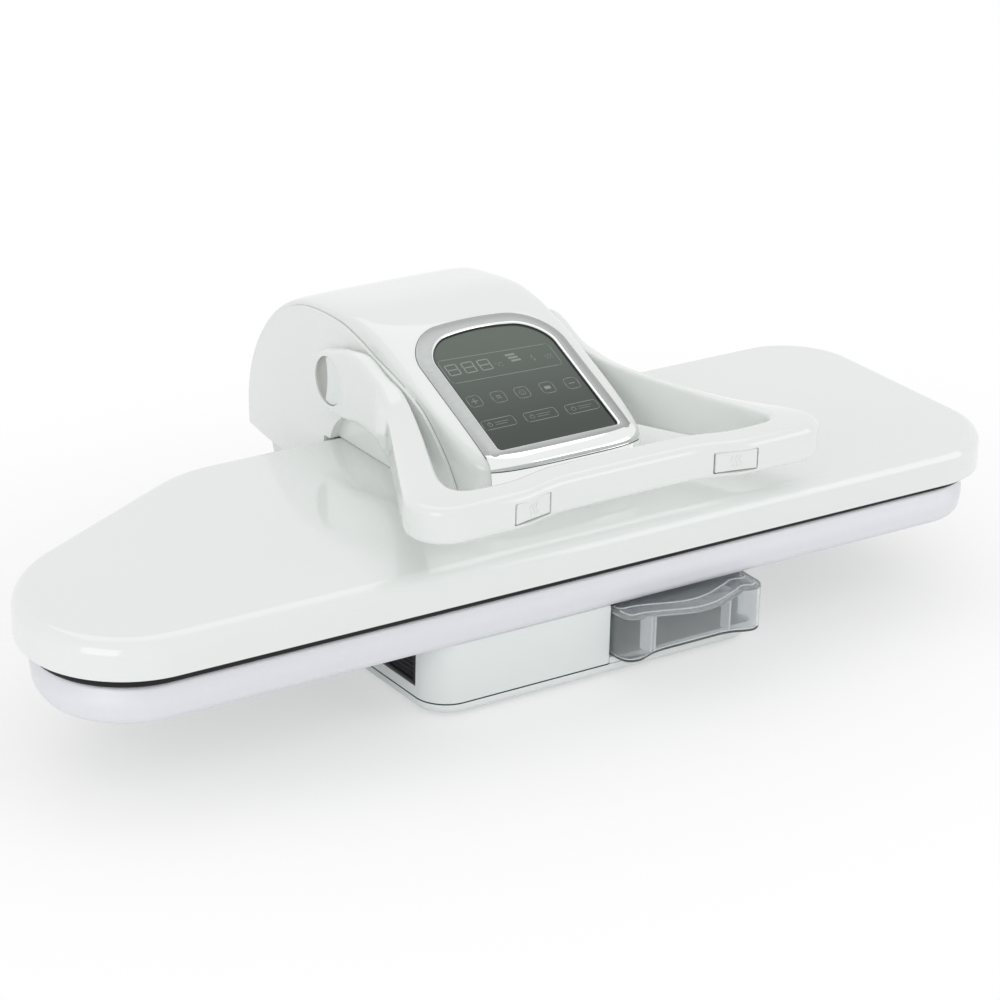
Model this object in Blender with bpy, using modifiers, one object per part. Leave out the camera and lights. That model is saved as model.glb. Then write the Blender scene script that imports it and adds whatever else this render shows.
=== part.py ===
"""Steam ironing press: a padded board on a base with a water tank, and a heated press above it.

World axes: X runs along the board from its nose to its square end, Y from the user to the hinge,
Z up. The origin is under the middle of the whole object, on the surface that it stands on.
All lengths are metres.
"""

import math

import bmesh
import bpy
from mathutils import Matrix, Vector

# Overall sizes
PRESS_LENGTH = 0.900
PRESS_DEPTH = 0.2926
HOOD_WIDTH = 0.173
HOOD_X = 0.0325
BASE_X = 0.0355
HINGE_SETBACK = 0.0274
HOOD_RADIUS = 0.1255
HINGE_ABOVE_PARTING = 0.016
FIT = 0.0003
SHORTEST_SIDE = 0.0008
OVERRUN = 0.004

# Outline of the press cover, seen from above, and what follows it inward
NOSE_DEPTH_SHARE = 0.5545
TAPER_LENGTH_SHARE = 0.265
FRONT_LEFT_RADIUS = 0.0819
FRONT_RIGHT_RADIUS = 0.0715
BACK_RIGHT_RADIUS = 0.0694
TAPER_RADIUS = 0.1291
NOSE_RADIUS = 0.1354
ARC_STEPS = 7

# Press cover and what it carries
COVER_HEIGHT = 0.0335
COVER_WALL = 0.0028
COVER_EDGE_RADIUS = 0.0133
PLATE_INSET = 0.0085
PLATE_DROP = 0.0076
PLATE_THICKNESS = 0.0118
PLATE_EDGE_RADIUS = 0.0025
ELEMENT_DIAMETER = 0.0070
ELEMENT_FLAT_SHARE = 0.866
RIM_RECESS = 0.0008
ELEMENT_INSET = 0.052
MAT_THICKNESS = 0.0055
MAT_INSET = 0.024
WINDOW_WIDTH = 0.112
WINDOW_DEPTH = 0.144
WINDOW_SETBACK = 0.0246
THERMOSTAT_RADIUS = 0.009
THERMOSTAT_HEIGHT = 0.007

# Ironing board under the press
BOARD_INSET = 0.0137
BOARD_GAP = 0.0079
BOARD_HEIGHT = 0.0352
CLOTH = 0.0016
CLOTH_TOP_RADIUS = 0.0085
CLOTH_FOOT_RADIUS = 0.0100
CLOTH_RETURN = 0.0160
FOAM_THICKNESS = 0.0130
PAN_SHEET = 0.0015
RAIL_WIDTH = 0.022

# Base
FOOT_HEIGHT = 0.0030
FOOT_RADIUS = 0.0105
FOOT_INSET = 0.032
TRAY_HEIGHT = 0.0090
HOUSING_HEIGHT = 0.0529
BASE_WIDTH = 0.325
BASE_FRONT = 0.0205
HOUSING_PAST_BOARD = 0.0054
TRAY_PAST_BOARD = 0.0734
BASE_CORNER_RADIUS = 0.028
BASE_BACK_RADIUS = 0.014
BASE_WALL = 0.0026
TRAY_EDGE_RADIUS = 0.006

# Water tank in the right front corner of the base
TANK_WIDTH = 0.1415
TANK_DEPTH = 0.1280
TANK_LIFT = 0.0056
TANK_ROOM_ABOVE = 0.0031
TANK_WALL = 0.0022
TANK_RIGHT_MARGIN = 0.0095
TANK_SIDE_GAP = 0.0018
TANK_LOBE = 0.0195
TANK_BULGE = 0.0205
TANK_BULGE_START = 0.14
TANK_LID_HEIGHT = 0.0052
TANK_LID_WALL = 0.0020
TANK_BACK_ROOM = 0.0100
POST_SETBACK = 0.018
POST_RADIUS = 0.006
VALVE_RADIUS = 0.0065
SOCKET_RADIUS = 0.0095

# Vent in the left wall of the base
VENT_LENGTH = 0.096
VENT_HEIGHT = 0.033
VENT_FRONT_SPACE = 0.001
VENT_SLATS = 5
VENT_FRAME = 0.004
VENT_DEPTH = 0.0080
SLAT_THICKNESS = 0.0016
SLAT_LEAN = math.radians(35)

# Rear column and hinge
COLUMN_WIDTH = 0.158
COLUMN_RADIUS = 0.106
COLUMN_FOOT = 0.020
COLUMN_TOP_DROP = 0.012
COLUMN_WALL = 0.0026
COLUMN_STEPS = 10
PIN_RADIUS = 0.007
PIN_OVERHANG = 0.004
BRACKET_SPREAD = 0.128
BRACKET_SHEET = 0.005
BRACKET_EYE = 0.0165
BRACKET_FOOT_DEPTH = 0.031
ARM_SPREAD = 0.084
ARM_SHEET = 0.006
ARM_EYE = 0.0165
ARM_HEIGHT = 0.014
ARM_CREST = 0.046
BUSH_RADIUS = 0.0100
BUSH_LENGTH = 0.0150
TIE_DEPTH = 0.040
TIE_SHEET = 0.005
SPRING_WIRE = 0.0034
SPRING_TURNS = 9
SPRING_TURN_POINTS = 12
SPRING_PITCH = 0.0046

# Hood over the hinge and the display
HOOD_WALL = 0.0026
HOOD_FRONT_POWER = 4.0
HOOD_BACK_POWER = 5.0
HOOD_CROWN_STEPS = 16
HOOD_SIDE_RADIUS = 0.1187
HOOD_TAIL_ANGLE = math.radians(-10)
HOOD_TAIL_STEPS = 8
HOOD_TAIL_LEAD_SHARE = 0.35
HOOD_FRONT = 0.0715
HOOD_TOP = 0.1145
SIDE_COVER_SHEET = 0.003
DOME_HEIGHT = 0.010
DOME_MARGIN = 0.0012
ARCH_RADIUS = 0.0403
ARCH_AHEAD_SHARE = 0.632
ARCH_DROP = 0.0085
HUB_RADIUS = 0.027

# Display on the hood
DISPLAY_SLOPE = math.radians(24)
DISPLAY_START_HEIGHT = 0.0440
DISPLAY_START_BACK = 0.0025
FRAME_WIDTH = 0.144
FRAME_LENGTH = 0.1655
FRAME_ARCH = 0.0100
FRAME_TOP_RADIUS = 0.040
FRAME_FOOT_RADIUS = 0.008
FRAME_BAND = 0.0135
FRAME_CREST = 0.0025
GLASS_FOOT_RADIUS = 0.004
FRAME_THICKNESS = 0.0062
FRAME_PROUD = 0.0012
GLASS_THICKNESS = 0.0030
GLASS_DROP = 0.0022
MODULE_INSET = 0.008
MODULE_THICKNESS = 0.0070
TRIM_THICKNESS = 0.0020
TRIM_ROWS = (3, 5)

# Handle
PIVOT_AHEAD = 0.045
PIVOT_ABOVE = 0.074
HUB_THICKNESS = 0.0081
SHAFT_RADIUS = 0.006
CAP_RADIUS = 0.0210
CAP_RECESS = 0.0040
CAP_THICKNESS = 0.0022
HANDLE_WIDTH = 0.387
HANDLE_EDGE = 0.006
HANDLE_EDGE_SHARE = 0.4
HANDLE_OVERHANG = 0.026
BUTTON_WIDTH = 0.0385
BUTTON_HEIGHT = 0.0185
BUTTON_DEPTH = 0.0090
BUTTON_PROUD = 0.0010
BUTTON_GAP = 0.0004
BUTTON_ALONG_SHARE = 0.9262
BUTTON_RISE_SHARE = 0.8319
BUTTON_POCKET = 0.0165
BUTTON_SETBACK = 0.0045
BUTTON_TURN = math.radians(12)
BUTTON_EDGE = 0.0012
SWITCH_WIDTH = 0.0125
SWITCH_HEIGHT = 0.0105
SWITCH_DEPTH = 0.0045

# Inside the base
PUMP_RADIUS = 0.017
PUMP_LENGTH = 0.062
POWER_SHEET = 0.0016
POWER_WIDTH = 0.090
POWER_DEPTH = 0.070
GLAND_RADIUS = 0.008
GLAND_NECK = 0.006
GLAND_LENGTH = 0.016
GLAND_FLANGE = 0.011

# Derived places
NOSE_X = -PRESS_LENGTH / 2
DEPTH_OVERALL = HANDLE_OVERHANG + PRESS_DEPTH + HINGE_SETBACK + HOOD_RADIUS
FRONT_Y = HANDLE_OVERHANG - DEPTH_OVERALL / 2
BACK_Y = FRONT_Y + PRESS_DEPTH
TRAY_Z = FOOT_HEIGHT + FIT
HOUSING_Z = TRAY_Z + TRAY_HEIGHT
DECK_Z = HOUSING_Z + HOUSING_HEIGHT
BOARD_Z = DECK_Z + FIT
BOARD_TOP_Z = BOARD_Z + BOARD_HEIGHT
PARTING_Z = BOARD_TOP_Z + BOARD_GAP
COVER_TOP_Z = PARTING_Z + COVER_HEIGHT
PLATE_Z = PARTING_Z - PLATE_DROP
PLATE_TOP_Z = PLATE_Z + PLATE_THICKNESS
DISPLAY_ORIGIN = Vector((HOOD_X, FRONT_Y + HOOD_FRONT + DISPLAY_START_BACK,
                         COVER_TOP_Z + DISPLAY_START_HEIGHT))
HINGE = Vector((HOOD_X, BACK_Y + HINGE_SETBACK, PARTING_Z + HINGE_ABOVE_PARTING))
PIVOT = HINGE + Vector((0, -PIVOT_AHEAD, PIVOT_ABOVE))
HOOD_HALF = HOOD_WIDTH / 2
SIDE_COVER_OUT = HOOD_HALF + SIDE_COVER_SHEET
DOME_TOP = SIDE_COVER_OUT + DOME_HEIGHT
HUB_IN = DOME_TOP - PLATE_EDGE_RADIUS / 2
HUB_OUT = HUB_IN + HUB_THICKNESS
HANDLE_REACH = PIVOT.y - (FRONT_Y - HANDLE_OVERHANG)
HANDLE_RISE = PIVOT.z - COVER_TOP_Z

for old in list(bpy.data.objects):
    bpy.data.objects.remove(old, do_unlink=True)

model = bpy.data.collections.new("steam_ironing_press")
bpy.context.scene.collection.children.link(model)
cutters = bpy.data.collections.new("cutters")
bpy.context.scene.collection.children.link(cutters)


def finish_material(name, color, roughness, metallic=0.0, alpha=1.0):
    material = bpy.data.materials.new(name)
    material.use_nodes = True
    shader = material.node_tree.nodes["Principled BSDF"]
    shader.inputs["Base Color"].default_value = (*color, 1.0)
    shader.inputs["Roughness"].default_value = roughness
    shader.inputs["Metallic"].default_value = metallic
    shader.inputs["Alpha"].default_value = alpha
    material.diffuse_color = (*color, 1.0)
    return material


WHITE_GLOSS = finish_material("white_gloss_plastic", (0.83, 0.85, 0.84), 0.18)
WHITE_SATIN = finish_material("white_satin_plastic", (0.74, 0.76, 0.75), 0.38)
CHROME = finish_material("chrome_plate", (0.72, 0.74, 0.73), 0.12, 1.0)
DISPLAY_GLASS = finish_material("display_glass", (0.060, 0.085, 0.078), 0.08)
BLACK = finish_material("black_plastic", (0.015, 0.015, 0.016), 0.45)
PLATE_COAT = finish_material("coated_aluminium", (0.055, 0.055, 0.060), 0.42, 0.6)
STEEL = finish_material("zinc_steel", (0.55, 0.56, 0.57), 0.35, 1.0)
SPRING_STEEL = finish_material("spring_steel", (0.33, 0.33, 0.34), 0.3, 1.0)
SILVER_CLOTH = finish_material("silver_cloth", (0.60, 0.59, 0.67), 0.55, 0.2)
FOAM = finish_material("pad_foam", (0.78, 0.74, 0.60), 0.95)
FELT = finish_material("insulation_felt", (0.80, 0.78, 0.72), 0.95)
CLEAR = finish_material("clear_grey_plastic", (0.38, 0.40, 0.42), 0.1, 0.0, 0.45)
RUBBER = finish_material("grey_rubber", (0.10, 0.10, 0.105), 0.8)
BRASS = finish_material("brass", (0.66, 0.50, 0.24), 0.3, 1.0)
CIRCUIT = finish_material("circuit_board", (0.03, 0.16, 0.08), 0.5)


def add_object(name, mesh_data, material, collection=model):
    """Turn a bmesh into a named object with its faces pointing out."""
    bmesh.ops.recalc_face_normals(mesh_data, faces=mesh_data.faces)
    middle = sum((vert.co for vert in mesh_data.verts), Vector()) / len(mesh_data.verts)
    facing = sum(face.normal.dot(face.calc_center_median() - middle) * face.calc_area()
                 for face in mesh_data.faces)
    if facing < 0:
        bmesh.ops.reverse_faces(mesh_data, faces=mesh_data.faces)
    mesh = bpy.data.meshes.new(name)
    mesh_data.to_mesh(mesh)
    mesh_data.free()
    obj = bpy.data.objects.new(name, mesh)
    collection.objects.link(obj)
    if material is not None:
        mesh.materials.append(material)
    mesh.shade_smooth()
    mesh.set_sharp_from_angle(angle=math.radians(32))
    return obj


def as_cutter(obj):
    obj.hide_render = True
    obj.display_type = "WIRE"
    return obj


def add_cutter(name, mesh_data):
    return as_cutter(add_object(name, mesh_data, None, cutters))


def combine(obj, other, operation="DIFFERENCE"):
    step = obj.modifiers.new(operation.title(), "BOOLEAN")
    step.operation = operation
    step.solver = "EXACT"
    step.object = other


def thicken(obj, thickness, side=-1.0):
    step = obj.modifiers.new("Wall", "SOLIDIFY")
    step.thickness = thickness
    step.offset = side
    step.use_even_offset = True


def rounded_outline(corners, radii, steps=ARC_STEPS):
    """Points of a polygon with arcs at its corners; an arc is limited by the sides it joins."""
    count = len(corners)
    points = [Vector(corner) for corner in corners]
    reach = []
    turns = []
    for i in range(count):
        back = (points[i - 1] - points[i]).normalized()
        ahead = (points[(i + 1) % count] - points[i]).normalized()
        half = back.angle(ahead) / 2
        turns.append((back, ahead, half))
        reach.append(radii[i] / math.tan(half))
    for i in range(count):
        side = (points[(i + 1) % count] - points[i]).length
        spare = side / (reach[i] + reach[(i + 1) % count]) if reach[i] + reach[(i + 1) % count] else 1
        if spare < 1:
            reach[i] *= spare
            reach[(i + 1) % count] *= spare
    outline = []
    for i in range(count):
        back, ahead, half = turns[i]
        radius = reach[i] * math.tan(half)
        if radius < FIT:
            outline.append(points[i].copy())
            continue
        centre = points[i] + (back + ahead).normalized() * (radius / math.sin(half))
        first = points[i] + back * reach[i] - centre
        last = points[i] + ahead * reach[i] - centre
        swing = first.angle_signed(last)
        for step in range(steps + 1):
            outline.append(centre + Matrix.Rotation(-swing * step / steps, 2) @ first)
    return [point for i, point in enumerate(outline) if (point - outline[i - 1]).length > SHORTEST_SIDE]


def inset_corners(corners, distance):
    """Corners of a counter-clockwise polygon whose sides have moved inward."""
    count = len(corners)
    points = [Vector(corner) for corner in corners]
    lines = []
    for i in range(count):
        along = (points[(i + 1) % count] - points[i]).normalized()
        lines.append((points[i] + Vector((-along.y, along.x)) * distance, along))
    moved = []
    for i in range(count):
        (a, da), (b, db) = lines[i - 1], lines[i]
        cross = da.x * db.y - da.y * db.x
        offset = b - a
        moved.append(a + da * ((offset.x * db.y - offset.y * db.x) / cross))
    return moved


PRESS_CORNERS = [
    (NOSE_X, FRONT_Y),
    (NOSE_X + PRESS_LENGTH, FRONT_Y),
    (NOSE_X + PRESS_LENGTH, BACK_Y),
    (NOSE_X + PRESS_LENGTH * TAPER_LENGTH_SHARE, BACK_Y),
    (NOSE_X, FRONT_Y + PRESS_DEPTH * NOSE_DEPTH_SHARE),
]
PRESS_RADII = (FRONT_LEFT_RADIUS, FRONT_RIGHT_RADIUS, BACK_RIGHT_RADIUS, TAPER_RADIUS, NOSE_RADIUS)


def press_outline(inset):
    """The outline of the press cover, moved inward all round."""
    radii = [radius - inset for radius in PRESS_RADII]
    return rounded_outline(inset_corners(PRESS_CORNERS, inset), radii)


def box_outline(left, front, right, back, radii, steps=ARC_STEPS):
    corners = [(left, front), (right, front), (right, back), (left, back)]
    return rounded_outline(corners, radii, steps)


def prism(outline, low, high):
    """A flat outline drawn up from one height to another."""
    mesh_data = bmesh.new()
    base = [mesh_data.verts.new((point.x, point.y, low)) for point in outline]
    mesh_data.faces.new(base)
    raised = bmesh.ops.extrude_face_region(mesh_data, geom=list(mesh_data.faces))
    top = [item for item in raised["geom"] if isinstance(item, bmesh.types.BMVert)]
    bmesh.ops.translate(mesh_data, verts=top, vec=(0, 0, high - low))
    bmesh.ops.recalc_face_normals(mesh_data, faces=mesh_data.faces)
    return mesh_data


def rim_edges(mesh_data, height):
    """Edges of the outline at one height."""
    return [
        edge for edge in mesh_data.edges
        if all(abs(vert.co.z - height) < FIT / 10 for vert in edge.verts)
    ]


def soften(mesh_data, edges, width, segments):
    bmesh.ops.bevel(mesh_data, geom=edges, offset=width, segments=segments, profile=0.5,
                    affect="EDGES", clamp_overlap=True)


def drop_flat_face(mesh_data, height):
    """Open a prism by taking away its level face at a height."""
    level = [
        face for face in mesh_data.faces
        if all(abs(vert.co.z - height) < FIT / 10 for vert in face.verts)
    ]
    bmesh.ops.delete(mesh_data, geom=level, context="FACES")


def block(low, high, edge=0.0, segments=2):
    """A box between two corners, with all its edges rounded if a width is given."""
    mesh_data = bmesh.new()
    bmesh.ops.create_cube(mesh_data, size=1)
    low, high = Vector(low), Vector(high)
    size = high - low
    bmesh.ops.scale(mesh_data, vec=size, verts=mesh_data.verts)
    bmesh.ops.translate(mesh_data, vec=(low + high) / 2, verts=mesh_data.verts)
    if edge:
        soften(mesh_data, list(mesh_data.edges), edge, segments)
    return mesh_data


AXIS_TURN = {
    "X": Matrix.Rotation(math.radians(90), 4, "Y"),
    "Y": Matrix.Rotation(math.radians(-90), 4, "X"),
    "Z": Matrix.Identity(4),
}


def rod(radius, centre, length, axis="X", segments=24):
    """A cylinder about a centre, along a world axis."""
    mesh_data = bmesh.new()
    bmesh.ops.create_cone(mesh_data, cap_ends=True, segments=segments, radius1=radius,
                          radius2=radius, depth=length)
    bmesh.ops.transform(mesh_data, matrix=Matrix.Translation(centre) @ AXIS_TURN[axis],
                        verts=mesh_data.verts)
    return mesh_data


def turned(profile, centre, axis="Z", segments=32, closed=False):
    """A profile of (radius, height) points turned about a world axis."""
    mesh_data = bmesh.new()
    verts = [mesh_data.verts.new((radius, 0, height)) for radius, height in profile]
    pairs = list(zip(verts, verts[1:]))
    if closed:
        pairs.append((verts[-1], verts[0]))
    edges = [mesh_data.edges.new(pair) for pair in pairs]
    bmesh.ops.spin(mesh_data, geom=verts + edges, angle=math.tau, steps=segments,
                   axis=(0, 0, 1), cent=(0, 0, 0))
    bmesh.ops.remove_doubles(mesh_data, verts=mesh_data.verts, dist=FIT / 100)
    bmesh.ops.transform(mesh_data, matrix=Matrix.Translation(centre) @ AXIS_TURN[axis],
                        verts=mesh_data.verts)
    return mesh_data


def ring(outer, inner, centre, length, axis="X", segments=24):
    half = length / 2
    profile = [(outer, half), (outer, -half), (inner, -half), (inner, half)]
    return turned(profile, centre, axis, segments, closed=True)


def side_plate(outline, near, far):
    """A plate that stands across X, from an outline of (y, z) points."""
    mesh_data = bmesh.new()
    face = [mesh_data.verts.new((near, point[0], point[1])) for point in outline]
    mesh_data.faces.new(face)
    raised = bmesh.ops.extrude_face_region(mesh_data, geom=list(mesh_data.faces))
    moved = [item for item in raised["geom"] if isinstance(item, bmesh.types.BMVert)]
    bmesh.ops.translate(mesh_data, verts=moved, vec=(far - near, 0, 0))
    bmesh.ops.recalc_face_normals(mesh_data, faces=mesh_data.faces)
    return mesh_data


def loft(rows, close_row):
    """Quads between rows of points; each row is a closed section or an open line."""
    mesh_data = bmesh.new()
    grid = [[mesh_data.verts.new(point) for point in row] for row in rows]
    count = len(grid[0])
    last = count if close_row else count - 1
    for first, second in zip(grid, grid[1:]):
        for i in range(last):
            j = (i + 1) % count
            mesh_data.faces.new((first[i], first[j], second[j], second[i]))
    return mesh_data, grid


# Base: tray, feet, housing, vent
BASE_LEFT = BASE_X - BASE_WIDTH / 2
BASE_RIGHT = BASE_X + BASE_WIDTH / 2
BASE_FRONT_Y = FRONT_Y + BASE_FRONT
HOUSING_BACK_Y = BACK_Y + HOUSING_PAST_BOARD
TRAY_BACK_Y = BACK_Y + TRAY_PAST_BOARD
BASE_FRONT_RADII = (BASE_CORNER_RADIUS, BASE_CORNER_RADIUS)
BASE_BACK_RADII = (BASE_BACK_RADIUS, BASE_BACK_RADIUS)
BAY_RIGHT = BASE_RIGHT - TANK_RIGHT_MARGIN
BAY_LEFT = BAY_RIGHT - TANK_WIDTH - 2 * TANK_SIDE_GAP
BAY_BACK_Y = BASE_FRONT_Y + TANK_DEPTH + TANK_BACK_ROOM
POST_FRONT_Y = BASE_FRONT_Y + POST_SETBACK
VENT_FRONT_Y = BASE_FRONT_Y + BASE_CORNER_RADIUS + VENT_FRONT_SPACE
VENT_LOW_Z = HOUSING_Z + (HOUSING_HEIGHT - VENT_HEIGHT) / 2
VENT_HIGH_Z = VENT_LOW_Z + VENT_HEIGHT


def add_tray():
    outline = box_outline(BASE_LEFT, BASE_FRONT_Y, BASE_RIGHT, TRAY_BACK_Y,
                          BASE_FRONT_RADII + BASE_BACK_RADII)
    top = TRAY_Z + TRAY_HEIGHT - FIT
    shell = prism(outline, TRAY_Z, top)
    soften(shell, rim_edges(shell, TRAY_Z), TRAY_EDGE_RADIUS, 3)
    drop_flat_face(shell, top)
    tray = add_object("base_tray", shell, WHITE_SATIN)
    thicken(tray, BASE_WALL)
    return tray


def add_feet():
    profile = [(0, FOOT_HEIGHT), (FOOT_RADIUS, FOOT_HEIGHT), (FOOT_RADIUS, FOOT_HEIGHT / 2),
               (FOOT_RADIUS - FOOT_HEIGHT / 2, 0), (0, 0)]
    places = {
        "front_left": (BASE_LEFT + FOOT_INSET, BASE_FRONT_Y + FOOT_INSET),
        "front_right": (BASE_RIGHT - FOOT_INSET, BASE_FRONT_Y + FOOT_INSET),
        "back_left": (BASE_LEFT + FOOT_INSET, TRAY_BACK_Y - FOOT_INSET),
        "back_right": (BASE_RIGHT - FOOT_INSET, TRAY_BACK_Y - FOOT_INSET),
    }
    for place, (x, y) in places.items():
        add_object("foot_" + place, turned(profile, (x, y, 0)), RUBBER)


def add_housing():
    """A box open below, with the tank's bay as a notch in its right front corner."""
    corners = [
        (BASE_LEFT, BASE_FRONT_Y), (BAY_LEFT, BASE_FRONT_Y), (BAY_LEFT, BAY_BACK_Y),
        (BAY_RIGHT, BAY_BACK_Y), (BAY_RIGHT, POST_FRONT_Y), (BASE_RIGHT, POST_FRONT_Y),
        (BASE_RIGHT, HOUSING_BACK_Y), (BASE_LEFT, HOUSING_BACK_Y),
    ]
    radii = (BASE_CORNER_RADIUS, 0, 0, 0, 0, POST_RADIUS, BASE_BACK_RADIUS, BASE_BACK_RADIUS)
    shell = prism(rounded_outline(corners, radii), HOUSING_Z, DECK_Z)
    drop_flat_face(shell, HOUSING_Z)
    housing = add_object("base_housing", shell, WHITE_SATIN)
    thicken(housing, BASE_WALL)
    opening = block((BASE_LEFT - OVERRUN, VENT_FRONT_Y, VENT_LOW_Z),
                    (BASE_LEFT + BASE_WALL + OVERRUN, VENT_FRONT_Y + VENT_LENGTH, VENT_HIGH_Z))
    combine(housing, add_cutter("vent_opening", opening))
    return housing


def add_tank_shelf():
    """The base's ledge in the bay, on which the tank slides."""
    left, right, back = BAY_LEFT + FIT, BAY_RIGHT - FIT, BAY_BACK_Y - FIT
    side = POST_FRONT_Y - FIT
    corners = [(left, BASE_FRONT_Y), (BASE_RIGHT, BASE_FRONT_Y), (BASE_RIGHT, side), (right, side),
               (right, back), (left, back)]
    outline = rounded_outline(corners, (0, BASE_CORNER_RADIUS, 0, 0, 0, 0))
    return add_object("tank_shelf", prism(outline, HOUSING_Z, HOUSING_Z + TANK_LIFT), WHITE_SATIN)


def add_vent():
    """A black grille set into the left wall: a frame with leaning slats across its opening."""
    gap = FIT
    low = Vector((BASE_LEFT, VENT_FRONT_Y + gap, VENT_LOW_Z + gap))
    high = Vector((BASE_LEFT + VENT_DEPTH, VENT_FRONT_Y + VENT_LENGTH - gap, VENT_HIGH_Z - gap))
    grille = add_object("vent_grille", block(low, high), BLACK)
    clear_low = Vector((low.x - OVERRUN, low.y + VENT_FRAME, low.z + VENT_FRAME))
    clear_high = Vector((high.x + OVERRUN, high.y - VENT_FRAME, high.z - VENT_FRAME))
    combine(grille, add_cutter("vent_clear", block(clear_low, clear_high)))
    pitch = (clear_high.z - clear_low.z) / VENT_SLATS
    reach = (clear_high.y - clear_low.y) / 2 + VENT_FRAME / 2
    middle = (low + high) / 2
    for i in range(VENT_SLATS):
        half_depth = VENT_DEPTH / 2 / math.cos(SLAT_LEAN) - SLAT_THICKNESS
        slat = block((-half_depth, -reach, -SLAT_THICKNESS / 2),
                     (half_depth, reach, SLAT_THICKNESS / 2))
        height = clear_low.z + pitch * i + pitch / 2
        place = Matrix.Translation((middle.x, middle.y, height))
        bmesh.ops.transform(slat, matrix=place @ Matrix.Rotation(-SLAT_LEAN, 4, "Y"),
                            verts=slat.verts)
        combine(grille, as_cutter(add_object(f"vent_slat_{i + 1}", slat, BLACK, cutters)), "UNION")
    return grille


add_tray()
add_feet()
add_housing()
add_tank_shelf()
add_vent()

# Water tank
TANK_LEFT = BAY_LEFT + TANK_SIDE_GAP
TANK_RIGHT = TANK_LEFT + TANK_WIDTH
TANK_Z = HOUSING_Z + TANK_LIFT + FIT
TANK_TOP_Z = DECK_Z - TANK_ROOM_ABOVE - TANK_LID_HEIGHT - FIT
TANK_HEIGHT = TANK_TOP_Z - TANK_Z
TANK_BACK_Y = BASE_FRONT_Y + TANK_DEPTH

# Each pair is a share of the way across the tank's front and a share of how far its lobes stand out
TANK_FRONT_SHARES = [
    (0.000, 0.10), (0.006, 0.50), (0.030, 0.86), (0.070, 1.00), (0.120, 1.02), (0.180, 0.86),
    (0.240, 0.72), (0.320, 0.66), (0.420, 0.66), (0.520, 0.66), (0.620, 0.66), (0.720, 0.66),
    (0.800, 0.74), (0.860, 0.90), (0.910, 1.00), (0.950, 0.98), (0.985, 0.80), (1.000, 0.45),
]


def tank_outline(bulge_share, inset=0.0):
    """Round the tank from its left back corner; its front has a lobe at each end and a bulge."""
    points = [Vector((TANK_LEFT + inset, TANK_BACK_Y - inset))]
    span = TANK_WIDTH - 2 * inset
    for along, reach in TANK_FRONT_SHARES:
        swell = max(0, math.sin(math.pi * (along - TANK_BULGE_START) / (1 - 2 * TANK_BULGE_START)))
        if along < TANK_BULGE_START or along > 1 - TANK_BULGE_START:
            swell = 0
        depth = TANK_LOBE * reach + TANK_BULGE * bulge_share * swell ** 0.8
        points.append(Vector((TANK_LEFT + inset + span * along, BASE_FRONT_Y - depth + inset)))
    points.append(Vector((TANK_RIGHT - inset, TANK_BACK_Y - inset)))
    return points


def add_tank():
    shell = prism(tank_outline(0), TANK_Z, TANK_TOP_Z)
    drop_flat_face(shell, TANK_TOP_Z)
    tank = add_object("water_tank", shell, CLEAR)
    thicken(tank, TANK_WALL)
    lid_low = TANK_TOP_Z + FIT
    lid = prism(tank_outline(1), lid_low, lid_low + TANK_LID_HEIGHT)
    soften(lid, rim_edges(lid, lid_low + TANK_LID_HEIGHT), TANK_LID_WALL / 2, 1)
    lid_object = add_object("tank_lid", lid, CLEAR)
    valve_y = TANK_BACK_Y + FIT
    valve_length = TANK_BACK_ROOM / 2 - FIT
    centre_x = (TANK_LEFT + TANK_RIGHT) / 2
    centre_z = TANK_Z + TANK_HEIGHT / 3
    valve = rod(VALVE_RADIUS, (centre_x, valve_y + valve_length / 2, centre_z), valve_length, "Y")
    valve_object = add_object("tank_valve", valve, BLACK)
    socket_y = valve_y + valve_length + FIT
    socket_length = BAY_BACK_Y - FIT - socket_y
    socket = rod(SOCKET_RADIUS, (centre_x, socket_y + socket_length / 2, centre_z), socket_length, "Y")
    add_object("valve_socket", socket, RUBBER)
    return [tank, lid_object, valve_object]


tank_pieces = add_tank()

# Ironing board: pan, foam, cloth cover and the rails that carry them
CLOTH_IN = BOARD_INSET + CLOTH
PAN_INSET = CLOTH_IN + FIT
PAN_TOP_Z = BOARD_TOP_Z - CLOTH - FIT - FOAM_THICKNESS - FIT
PAN_Z = BOARD_Z + CLOTH + FIT


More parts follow.
